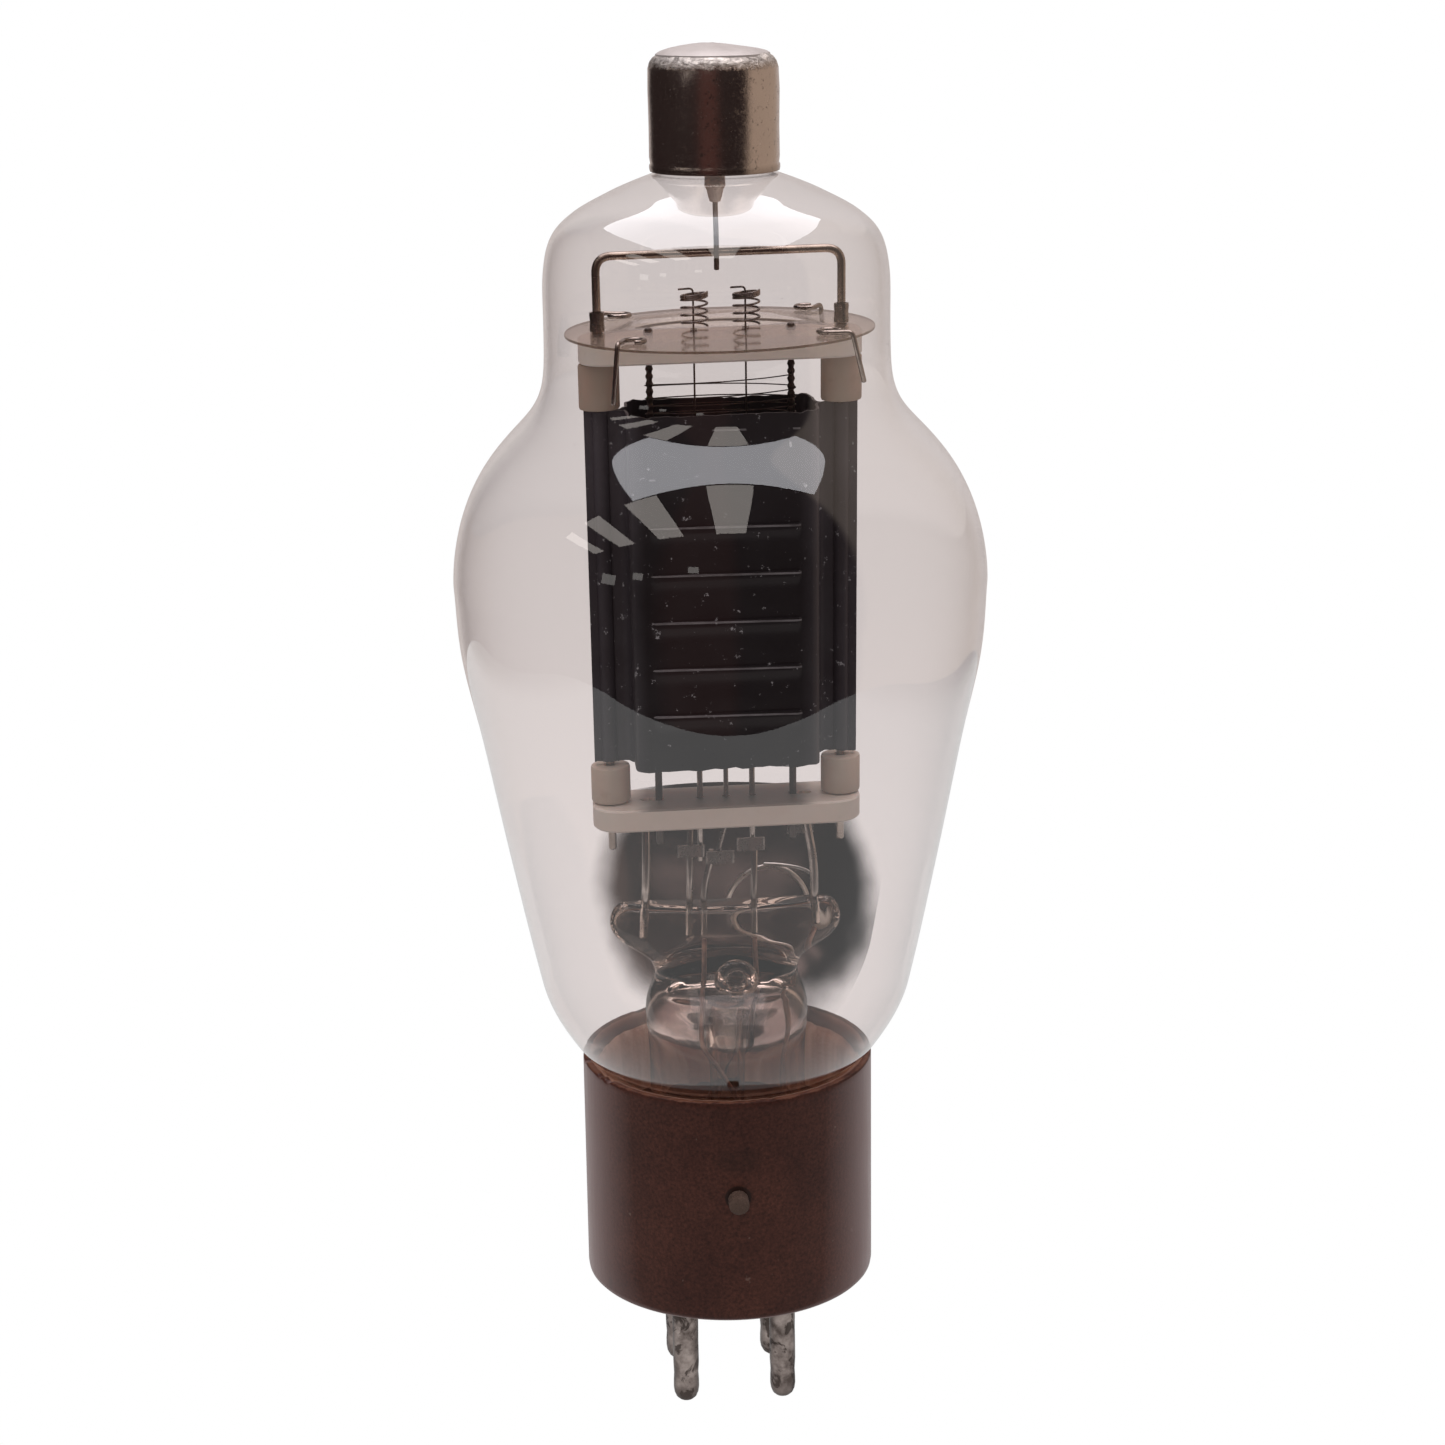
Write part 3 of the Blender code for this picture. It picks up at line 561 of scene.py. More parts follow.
def phenolic():
    """Brown moulded plastic with wear at the rim, painted paler inside the bore as painted light, a painted shadow
    round the stud and a painted sheen at the sides.
    """
    s = Shader("brown_phenolic")
    cloud = s.noise(0.10, 6.0, 0.6)
    grain = s.noise(2.6, 4.0, 0.6)
    base = s.mix(s.rise(cloud, 0.32, 0.68), (0.041, 0.0135, 0.0098), (0.070, 0.0240, 0.0165))
    speckle = s.ramp(grain, (0.3, 0.6), (0.7, 1.36))
    colour = s.mix(1.0, base, speckle, "MULTIPLY")
    x, y, z = s.place()
    rim = z - BASE_TOP + s.noise(0.7, 4.0) * 0.7
    colour = s.mix(s.rise(rim, 0.22, 0.34), colour, (0.13, 0.052, 0.032))
    nick = s.rise(s.noise(0.55, 2.0, 0.5), 0.735, 0.76)
    colour = s.mix(nick * 0.3, colour, (0.24, 0.17, 0.14))
    # Paler inside the bore: painted light where the bore lies in shade.
    radius = s.math("SQRT", x ** 2.0 + y ** 2.0)
    within = (radius < BASE_R - 0.8) * (z > 4.0)
    colour = s.mix(within, colour, s.mix(cloud, (0.22, 0.11, 0.075), (0.36, 0.21, 0.155)))
    front = y < 0.0
    # Dark marks on the front: (x, height, half width, half height, softness of the edge, depth). The mark at the stud
    # is painted shade round it.
    stud, blotch = (0.0, 15.95, 1.55, 1.5, 0.12, 0.9), (0.0, 20.6, 2.6, 1.5, 0.7, 0.38)
    nicks = (-15.05, 1.5, 0.24, 0.85, 0.4, 0.9), (17.28, 2.2, 0.12, 0.85, 0.4, 0.9)
    for middle, up, wide, tall, soft, depth in (stud, blotch, *nicks):
        across = (x - middle) / wide
        along = (z - up) / tall
        reach = abs(across) ** 2.0 + abs(along) ** 2.0
        spot = s.fall(reach * 0.5, 0.5 - soft * 0.5, 0.5 + soft * 0.5) * front
        colour = s.mix(spot * depth, colour, (0.018, 0.009, 0.007))
    # Painted sheen: the sides lighter towards the outline, a painted reflection.
    sheen = s.rise(s.facing(), 0.32, 0.86)
    side = (1.0 - within) * (z < BASE_TOP - 0.25)
    colour = s.mix(sheen * side, colour, (0.25, 0.165, 0.158))
    scratch = s.noise(0.5, 3.0, 0.6, 0.6, stretch=(3.0, 3.0, 0.15))
    dull = s.ramp(cloud * 0.5 + scratch * 0.5, (0.3, 0.28), (0.7, 0.42))
    bump = s.bump(grain + scratch * 0.7, 0.2, 0.06)
    return s.done(s.principled(Base_Color=colour, Roughness=dull, Normal=bump, Specular_IOR_Level=0.14))


def cement(name, dark, light, inside=False):
    """Gritty filler. With inside set it takes painted light towards the back, where the base's bore is lit, and is
    streaked there.
    """
    s = Shader(name)
    grit = s.noise(1.6, 8.0, 0.7)
    colour = s.mix(grit, dark, light)
    if inside:
        y = s.split()[1] * (0.05 / MM)
        # Painted light: the back of the bore lighter, as if lit through the glass.
        lit = s.rise(y + s.noise(0.3), 0.1, 0.4)
        streak = s.rise(s.noise(0.3, 3.0, 0.6, stretch=(1.0, 1.0, 0.05)), 0.35, 0.6)
        colour = s.mix(lit, colour, s.mix(streak, (0.62, 0.28, 0.17), (1.0, 0.65, 0.47)))
    return s.done(s.principled(Base_Color=colour, Roughness=0.85, Normal=s.bump(grit, 0.8, 0.3)))


def ceramic(name, low, high, roughness=0.5, anode_shadow=False):
    """Unglazed ceramic, clouded and stained. The bar under the anode can take a painted shadow and reflection of the
    anode on its top.
    """
    s = Shader(name)
    cloud = s.noise(0.25, 5.0, 0.6)
    grit = s.noise(4.0, 3.0, 0.5)
    colour = s.mix(cloud, low, high)
    stain = s.rise(s.noise(0.35, 3.0, 0.6), 0.6, 0.75)
    colour = s.mix(stain * 0.25, colour, tuple(c * 0.6 for c in low))
    # Painted shadow and reflection of the black anode, darkening the top of the bar under it.
    if anode_shadow:
        x = s.split()[0] * (0.05 / MM)
        up = s.upright()
        reach = s.fall(abs(x) + cloud * 0.1, 0.50, 0.60)
        film = (up > 0.7) * reach
        colour = s.mix(film * 0.72, colour, (0.085, 0.06, 0.05))
    return s.done(
        s.principled(Base_Color=colour, Roughness=roughness, Normal=s.bump(grit, 0.12, 0.05), Subsurface_Weight=0.08)
    )


def metal(name, bright, dull, roughness, patches=0.4, bump=0.1):
    """Drawn or rolled metal with tarnish in patches."""
    s = Shader(name)
    cloud = s.noise(patches, 5.0, 0.6)
    fine = s.noise(6.0, 3.0, 0.6)
    colour = s.mix(s.rise(cloud, 0.25, 0.62), bright, dull)
    rough_map = s.ramp(cloud, (0.3, roughness), (0.7, min(1.0, roughness + 0.18)))
    return s.done(
        s.principled(Base_Color=colour, Metallic=1.0, Roughness=rough_map, Normal=s.bump(fine, bump, 0.05))
    )


def cap_metal():
    """Nickel plate, brown with age and pitted; round the crumpled top edge it is partly scuffed bright and partly
    painted with glints and shade.
    """
    s = Shader("cap_metal")
    cloud = s.noise(0.25, 6.0, 0.62)
    pits = s.rise(s.noise(1.6, 7.0, 0.85), 0.575, 0.62)
    fine = s.noise(3.5, 6.0, 0.7)
    crumple = s.noise(1.0, 8.0, 0.72, 0.5)
    colour = s.mix(cloud, (0.62, 0.52, 0.46), (0.52, 0.44, 0.39))
    ragged = s.height() + crumple * 1.6
    shoulder = s.rise((ragged - (CAP_TOP - 1.5)) * 0.5, 0.1, 0.5)
    crown = s.rise(s.height() - (CAP_TOP - 0.85), 0.05, 0.5)
    # The crumpled shoulder: bright patches partly scuffed metal and partly painted glint; the dark folds are painted
    # shade.
    glint_and_wear = s.mix(s.rise(crumple, 0.35, 0.65), (0.06, 0.048, 0.043), (0.74, 0.67, 0.62))
    colour = s.mix(shoulder, colour, glint_and_wear)
    colour = s.mix(crown, colour, s.mix(crumple, (0.16, 0.135, 0.125), (0.36, 0.31, 0.29)))
    colour = s.mix(pits * 0.75, colour, (0.10, 0.075, 0.06))
    foot = s.fall(s.height() - CAP_LOW, 0.0, 0.95)
    colour = s.mix(foot * 0.55, colour, (0.16, 0.12, 0.09))
    gloss = s.ramp(fine, (0.3, 0.13), (0.75, 0.3))
    gloss = s.mix(shoulder, gloss, (0.42, 0.42, 0.42))
    gloss = s.mix(crown, gloss, (0.7, 0.7, 0.7))
    height = fine * 0.35 + pits * -0.12
    rippled = height + crumple * shoulder * 8.0
    return s.done(s.principled(Base_Color=colour, Metallic=1.0, Roughness=gloss, Normal=s.bump(rippled, 0.4, 0.1)))


def solder_metal():
    """Dull tin run over the top of the cap."""
    s = Shader("solder")
    cloud = s.noise(0.5, 5.0, 0.6)
    colour = s.mix(cloud, (0.33, 0.285, 0.27), (0.47, 0.42, 0.40))
    bump = s.bump(s.noise(1.2, 5.0, 0.7), 0.35, 0.08)
    return s.done(s.principled(Base_Color=colour, Metallic=0.45, Roughness=0.5, Normal=bump))


def pin_metal():
    """Plated tube, scratched, with black tarnish in blotches and a dark solder tip."""
    s = Shader("pin_metal")
    blot = s.noise(0.42, 5.0, 0.6, 0.5)
    fine = s.noise(4.0, 5.0, 0.7)
    streak = s.noise(0.5, 5.0, 0.6)
    colour = s.mix(s.rise(streak, 0.35, 0.65), (0.115, 0.088, 0.077), (0.50, 0.42, 0.385))
    dark = s.rise(blot, 0.54, 0.585)
    colour = s.mix(dark * 0.8, colour, (0.05, 0.036, 0.03))
    # Painted shade: the pin darker towards its outline.
    side = s.rise(s.facing(), 0.25, 0.7)
    colour = s.mix(side * 0.7, colour, (0.06, 0.046, 0.042))
    tip = s.fall((s.height() - PIN_END) * 0.25, 0.1, 0.8)
    colour = s.mix(tip * 0.75, colour, (0.085, 0.064, 0.058))
    gloss = s.ramp(fine + dark * 0.4, (0.3, 0.3), (1.0, 0.6))
    return s.done(s.principled(Base_Color=colour, Metallic=0.85, Roughness=gloss, Normal=s.bump(fine, 0.35, 0.1)))


def anode_black():
    """Carbonised sheet: soft black with a faint blue tint, darker in the middle than on the wings, with painted haze
    towards the top, painted glints along the ledges and stray bright grains.
    """
    s = Shader("anode_black")
    cloud = s.noise(0.18, 5.0, 0.6)
    fine = s.noise(5.0, 4.0, 0.7)
    colour = s.mix(cloud, (0.019, 0.016, 0.019), (0.034, 0.031, 0.036))
    x, y, z = s.place()
    # Darker in the middle, lighter on the wings, and lighter towards the top as painted haze of reflected light.
    flank = s.ramp(abs(x) * 0.05, (0.44, 0.5), (0.56, 1.7))
    wings_and_painted_haze = flank * s.ramp(z * 0.01, (0.9, 1.0), (1.05, 1.7))
    colour = s.mix(1.0, colour, s.add("CombineXYZ", X=wings_and_painted_haze, Y=wings_and_painted_haze, Z=wings_and_painted_haze).outputs[0], "MULTIPLY")
    # Painted glint along the lip of each ledge, patchy along its length.
    step = s.math("FRACT", (z - (FIRST_LEDGE - LEDGE_PITCH / 2 + LEDGE_SHIFT)) / LEDGE_PITCH)
    lip = abs(step - 0.5) < 0.02
    flat = abs(x - MOUNT_X) < 8.6
    proud = abs(y) > 6.18
    ledge_glint = lip * flat * proud
    glint_and_wear = s.ramp(s.noise(0.3, 3.0), (0.25, 0.35), (0.6, 1.0))
    colour = s.mix(ledge_glint * glint_and_wear, colour, (0.17, 0.165, 0.175))
    grains = s.rise(s.noise(0.85, 6.0, 0.75), 0.635, 0.665)
    colour = s.mix(grains, colour, (0.34, 0.34, 0.36))
    return s.done(
        s.principled(
            Base_Color=colour,
            Roughness=s.ramp(cloud, (0.3, 0.30), (0.7, 0.46)),
            Normal=s.bump(fine, 0.18, 0.05),
            Specular_IOR_Level=0.4,
        )
    )


def getter_film():
    """Metal deposited on the glass: a dark mirror that thins to nothing at its edge."""
    s = Shader("getter_film")
    x, _, z = s.place()
    wide, tall = 18.6, 17.0
    across = (x - 2.3) / wide
    up = (z - 42.3) / tall
    reach = s.math("SQRT", abs(across) ** 2.2 + abs(up) ** 2.2)
    reach = reach + (s.noise(0.12, 2.0) - 0.5) * 0.2
    cover = s.ramp(reach, (0.75, 1.0), (1.0, 0.0), ease="EASE")
    colour = s.mix(s.noise(0.15, 3.0), (0.175, 0.134, 0.130), (0.108, 0.085, 0.082))
    film = s.principled(Base_Color=colour, Metallic=1.0, Roughness=0.18)
    clear = s.add("BsdfTransparent", Color=(1, 1, 1, 1)).outputs[0]
    both = s.blend(cover, clear, film)
    return s.done(both)


def make_materials():
    return {
        "glass": bulb_glass(),
        "stem_glass": solid_glass("stem_glass", (0.91, 0.86, 0.825)),
        "bead_glass": ceramic("bead_glass", (0.42, 0.33, 0.29), (0.58, 0.48, 0.43), 0.25),
        "mica": mica_sheet(),
        "base": phenolic(),
        "base_cement": cement("base_cement", (0.24, 0.125, 0.08), (0.44, 0.27, 0.19), inside=True),
        "cap_cement": cement("cap_cement", (0.25, 0.19, 0.15), (0.42, 0.35, 0.29)),
        "ceramic": ceramic("steatite", (0.535, 0.44, 0.38), (0.655, 0.55, 0.49), anode_shadow=True),
        # The upper bar's steatite: the same ceramic painted lighter, as painted light.
        "ceramic_painted_light": ceramic("steatite_bright", (0.76, 0.665, 0.60), (0.86, 0.775, 0.71)),
        "bushing": ceramic("bushing_ceramic", (0.37, 0.28, 0.225), (0.49, 0.385, 0.315), 0.6),
        "nickel": metal("nickel", (0.70, 0.64, 0.59), (0.34, 0.29, 0.26), 0.13, bump=0.04),
        "strap": metal("nickel_strip", (0.62, 0.56, 0.51), (0.24, 0.205, 0.185), 0.18, patches=0.9, bump=0.2),
        "yoke": metal("nickel_wire", (0.66, 0.58, 0.51), (0.34, 0.28, 0.24), 0.18, patches=0.25),
        "spring": metal("spring_wire", (0.52, 0.47, 0.43), (0.22, 0.19, 0.18), 0.18),
        "grid": metal("grid_wire", (0.26, 0.22, 0.20), (0.13, 0.11, 0.10), 0.4),
        "copper": metal("copper_lead", (0.42, 0.25, 0.19), (0.17, 0.11, 0.09), 0.3),
        "getter": metal("getter_metal", (0.88, 0.84, 0.80), (0.60, 0.56, 0.52), 0.25),
        "solder": solder_metal(),
        "stud": cement("stud_metal", (0.055, 0.029, 0.02), (0.10, 0.058, 0.042)),
        "cap": cap_metal(),
        "pin": pin_metal(),
        "anode": anode_black(),
        "film": getter_film(),
    }


# ---------------------------------------------------------------- studio


def camera_matrix(azimuth, height, distance, pitch, roll):
    """A camera on a circle round the axis, at a height in millimetres, that looks at the axis."""
    a, p, r = math.radians(azimuth), math.radians(pitch), math.radians(roll)
    place = Vector((distance * math.sin(a), -distance * math.cos(a), height)) * MM
    level = Vector((-math.sin(a), math.cos(a), 0))
    right = Vector((math.cos(a), math.sin(a), 0))
    ahead = level * math.cos(p) - Vector((0, 0, 1)) * math.sin(p)
    up = right.cross(ahead)
    tilted_right = right * math.cos(r) - up * math.sin(r)
    tilted_up = right * math.sin(r) + up * math.cos(r)
    turn = Matrix((tilted_right, tilted_up, -ahead)).transposed().to_4x4()
    return Matrix.Translation(place) @ turn


def make_camera():
    data = bpy.data.cameras.new("camera")
    data.sensor_width = 36.0
    data.lens = LENS
    data.clip_start, data.clip_end = 0.01, 50
    camera = link("camera", data)
    camera.matrix_world = camera_matrix(**CAMERA)
    bpy.context.scene.camera = camera


def area_light(name, centre, size, aim, radiance, colour):
    """A rectangular lamp, out of the camera's sight, with its brightness given as radiance."""
    data = bpy.data.lights.new(name, "AREA")
    data.shape = "RECTANGLE"
    data.size, data.size_y = size
    data.energy = radiance * math.pi * size[0] * size[1]
    data.color = colour
    lamp = link(name, data)
    lamp.location = centre
    lamp.rotation_mode = "QUATERNION"
    lamp.rotation_quaternion = (Vector(aim) - Vector(centre)).to_track_quat("-Z", "Y")
    lamp.visible_camera = False
    return lamp


def make_lights():
    target_z = 0.72
    box = area_light("softbox", (0.0, 0.14, target_z), (0.84, 0.77), (0.0, 0.14, 0), 3.0, (0.95, 0.95, 1.0))
    box.rotation_quaternion = (1, 0, 0, 0)
    for number, x in enumerate((0.03, -0.40, -0.84, -1.30)):
        place, aim = (x, -0.51, target_z + 0.02), (x, -0.51, 0)
        strip = area_light(f"ceiling_strip_{number}", place, (0.20, 0.50), aim, 1.8, (1.0, 0.93, 0.87))
        strip.rotation_quaternion = (1, 0, 0, 0)
    for number, (turn, rise, wide) in enumerate(((-15.6, 22.0, 0.10), (-40.0, 16.6, 0.10), (-53.0, 13.3, 0.14))):
        a, e = math.radians(turn), math.radians(rise)
        aim = Vector((0, -0.03, 0.08))
        away = Vector((math.sin(a) * math.cos(e), -math.cos(a) * math.cos(e), math.sin(e))) * 1.3
        area_light(f"far_lamp_{number}", aim + away, (wide, wide * 0.7), aim, 1.1, (1.0, 0.96, 0.92))


def make_world():
    """White to the eye; in reflections a dark room with a bright backdrop behind and a warm wall at the right."""
    world = bpy.data.worlds.new("studio")
    bpy.context.scene.world = world
    s = Shader("studio", world)
    x, y, _ = s.split(s.add("TexCoord").outputs["Generated"])
    share = s.add("MapRange", Value=s.math("ARCTAN2", x, y), From_Min=-math.pi, From_Max=math.pi).outputs[0]
    dark, back, wall, warm = (0.027, 0.018, 0.018), (0.60, 0.54, 0.52), (0.50, 0.41, 0.345), (0.085, 0.038, 0.034)
    stops = [(-180, warm), (-155, warm), (-146, dark), (-32, dark), (-18, back), (30, back), (45, wall), (119, wall)]
    stops += [(123, dark), (174, dark), (180, warm)]
    walls = s.ramp(share, *(((degrees + 180) / 360, colour) for degrees, colour in stops))
    room = s.add("Background", Color=walls).outputs[0]
    path = s.add("LightPath").outputs
    seen = s.math("MAXIMUM", path["Is Camera Ray"], path["Is Transmission Ray"])
    level = s.add("MapRange", Value=seen, To_Min=0.62).outputs[0]
    plain = s.add("Background", Color=(1, 1, 1, 1), Strength=level).outputs[0]
    s.done(s.blend(path["Is Glossy Ray"], plain, room))


def make_floor():
    """White to the eye. Reflections see only the sheet of paper that the valve stands on."""
    s = Shader("white_paper")
    path = s.add("LightPath").outputs
    seen = s.math("MAXIMUM", path["Is Camera Ray"], path["Is Transmission Ray"])
    side = abs(s.split()[0] + SHEET_LEFT * MM)
    fade = s.ramp(side * 2.0, (0.34, 1.0), (0.52, 0.0), ease="EASE")
    shine = fade * 0.55 + -0.33
    glow = seen * 0.5 + path["Is Glossy Ray"] * shine
    paper = s.done(s.add("Emission", Color=(1, 1, 1, 1), Strength=glow + 0.5).outputs[0])
    sheet = [(x - SHEET_LEFT, y + SHEET_BACK) for x, y in rounded_rectangle(258, 215, 110)]
    low = new_object("paper_sheet", [(x, y, PIN_END) for x, y in sheet], [tuple(range(len(sheet)))], smooth=False)
    far, drop = 6000, PIN_END - 0.5
    corners = [(-far, -far, drop), (far, -far, drop), (far, far, drop), (-far, far, drop)]
    wide = new_object("pale_floor", corners, [(0, 1, 2, 3)], smooth=False)
    wide.visible_glossy = False
    for floor in (low, wide):
        floor.data.materials.append(paper)


# ---------------------------------------------------------------- base and pins


def build_base():
    r, top = BASE_R, BASE_TOP
    inner = r - 1.6
    profile = [(0, 0), (8, 0), (r - 0.75, 0), (r - 0.32, 0.1), (r - 0.08, 0.36), (r, 0.85)]
    profile += [(r, z) for z in (4, 9, 14, 19, 23, 26, 27)]
    profile += [(r, top - 0.35), (r - 0.05, top - 0.12), (r - 0.2, top), (r - 0.6, top), (inner + 0.5, top - 0.1)]
    profile += [(inner + 0.15, top - 0.5), (inner, top - 1.4), (inner, 3.0), (inner - 0.8, 2.2), (0, 2.2)]

    def warp(point, angle):
        if point.z > top - 1.6:
            edge = (*polar(14, angle), 0)
            chip = max(0.0, rough(edge, 1.3, 3.0) - 0.3) * 1.3 * abs(math.cos(angle))
            chip += max(0.0, rough(edge, 0.6, 8.0)) * 0.1
            drop = min(1.0, (point.z - top + 1.6) / 1.6)
            return Vector((point.x, point.y, point.z - chip * drop))
        return point

    shell = lathe("base_shell_fine", profile, 180, warp=warp, sharp=50)
    finish_piece(shell, "base", "base_phenolic", "base_shell")

    stud = box_mm("bayonet_pin")
    centre = Vector((0, 0, (stud[0].z + stud[1].z) / 2))
    stud_r = 1.2
    outline = [(0, 15.2), (1.7, 15.2), (1.7, 15.6), (stud_r, 15.7), (stud_r, 19.0), (stud_r - 0.12, 19.25)]
    outline += [(stud_r - 0.4, 19.38), (0, 19.36)]
    pin = lathe("bayonet_pin_fine", outline, 32)
    pin.data.transform(Matrix.Translation(centre * MM) @ Matrix.Rotation(math.pi / 2, 4, "X"))
    finish_piece(pin, "stud", "brass_stud", "bayonet_pin")

    def ragged(point, angle):
        edge = (*polar(14, angle), 0)
        lift = 0.35 * rough(edge, 2.2, 5.0) + 0.15 * rough(edge, 0.6, 9.0)
        return Vector((point.x, point.y, point.z + (lift if point.z > 22 else 0)))

    ring = [(NECK_R + 0.12, 18.2), (inner - 0.1, 18.2), (inner - 0.08, 26.2), (inner - 0.25, 26.5)]
    ring.append((NECK_R + 0.3, 25.2))
    cement_ring = lathe("base_cement_fine", ring, 180, closed=True, warp=ragged)
    finish_piece(cement_ring, "base_cement", "cement", "base_cement")


def build_pins():
    for number in (1, 2, 3, 4):
        low, high = box_mm(f"contact_pin_{number}")
        centre = (low + high) / 2
        r = 1.98 if number in (1, 4) else 1.59
        seed = number * 11.0
        tip = [(0, 0), (0.30, 0), (0.58, 0.16), (0.80, 0.5), (0.94, 1.05), (0.99, 1.7), (0.985, 2.6), (0.95, 3.6)]
        profile = [(share * r, PIN_END + up) for share, up in tip]
        profile += [(r, PIN_END + 5.0 + k * 1.4) for k in range(8)]
        profile += offsets(r, 0, (0, 2.3), (0.5, 2.35), (0.5, 2.9), (0, 2.95), (0, 4.2), (-0.45, 4.2), (-0.45, -10))
        profile.append((0, -10.3))

        def warp(point, angle, r=r, seed=seed):
            if point.z > -1:
                return point
            spot = Vector((*polar(r, angle), point.z))
            push = 0.05 * rough(spot, 2.0, seed) * min(1.0, math.hypot(point.x, point.y) / r)
            out = Vector((math.cos(angle), math.sin(angle), 0))
            return point + out * (min(push, 0.0) - 0.01)

        pin = lathe(f"contact_pin_fine_{number}", profile, 40, warp=warp, centre=(centre.x, centre.y, 0))
        finish_piece(pin, "pin", "pin_metal", f"contact_pin_{number}")


# ---------------------------------------------------------------- glass


def shoulder():
    """The bulb's shoulder, made from how steeply it leans at each height so that it mirrors smoothly."""
    leans = [(86.5, 0.5), (90, 9), (94, 18), (98, 29), (101, 38.5), (103, 43.5), (104.5, 45), (106, 40), (108, 23.5)]
    leans += [(110, 9.5), (112, 3), (114, 1), (116, 0.3)]
    fine = catmull([(z, a) for z, a in leans], 6)
    drops = [math.tan(math.radians((p.y + q.y) / 2)) * (q.x - p.x) for p, q in zip(fine, fine[1:])]
    share = (BULB_R - SHOULDER_R) / sum(drops)
    points, r = [], BULB_R
    for drop, p in zip(drops, fine[1:]):
        r -= drop * share
        points.append(Vector((r, p.x)))
    return points


def bulb_outline():
    """Outer (radius, height) outline below and above the shoulder, from the neck to the anode seal."""
    below = [(NECK_R, 13.2), (NECK_R, 24.6), (15.6, 27.3), (18.3, 30.1), (21.2, 35.0), (22.7, 40.4), (25.5, 54.0)]
    below += [(28.2, 68.0), (30.3, 78.0), (BULB_R, 86.5)]
    above = [(SHOULDER_R, 116.0), (19.6, 122.0), (18.6, 126.0), (16.1, 128.6), (12.2, 130.75), (9.6, 131.9)]
    return below, above + [(7.5, 132.7), (6.2, 133.2), (5.5, 136.0), (5.2, 138.4), (3.6, 140.4), (1.5, 141.0)]


def inner_outline(points, wall):
    """The outline moved towards the axis by the wall's thickness."""
    inner = []
    for index, point in enumerate(points):
        ahead, behind = points[min(index + 1, len(points) - 1)], points[max(index - 1, 0)]
        along = (ahead - behind).normalized()
        inner.append(point + Vector((-along.y, along.x)) * wall)
    return inner


def build_bulb():
    below, above = bulb_outline()
    outer = catmull(below, 7) + shoulder()[:-1] + catmull(above, 7)
    top = box_mm("glass_bulb")[1].z
    outer = [Vector((min(p.x, BULB_R), min(p.y, top))) for p in outer]
    bulb = lathe("bulb_fine", [tuple(p) for p in outer], 192, sharp=60)
    finish_piece(bulb, "glass", "glass", "glass_bulb")

    # The getter film lies just inside the back of the glass.
    skin = [p for p in inner_outline(outer, BULB_WALL + 0.06) if 24.9 < p.y < 56]
    verts, faces, steps = [], [], 48
    for p in skin:
        for k in range(steps + 1):
            angle = math.radians(28 + 124 * k / steps)
            verts.append((*polar(p.x, angle), p.y))
    for i in range(len(skin) - 1):
        for k in range(steps):
            a = i * (steps + 1) + k
            faces.append((a, a + steps + 1, a + steps + 2, a + 1))
    film = new_object("getter_film", verts, faces)
    finish_piece(film, "film", "getter_metal")


def stem_ring(z, half_x, half_y, sides, ears):
    """One ring of the stem, squarer where it is pinched, with its ends raised by ears."""
    ring = []
    for angle in circle(sides):
        c, s = math.cos(angle), math.sin(angle)
        flat = 0.8 if half_y < 0.6 * half_x else 1.0
        x = half_x * math.copysign(abs(c) ** flat, c)
        y = half_y * math.copysign(abs(s) ** flat, s)
        ring.append((x, y, z + ears * (abs(x) / max(half_x, 0.1)) ** 3))
    return ring


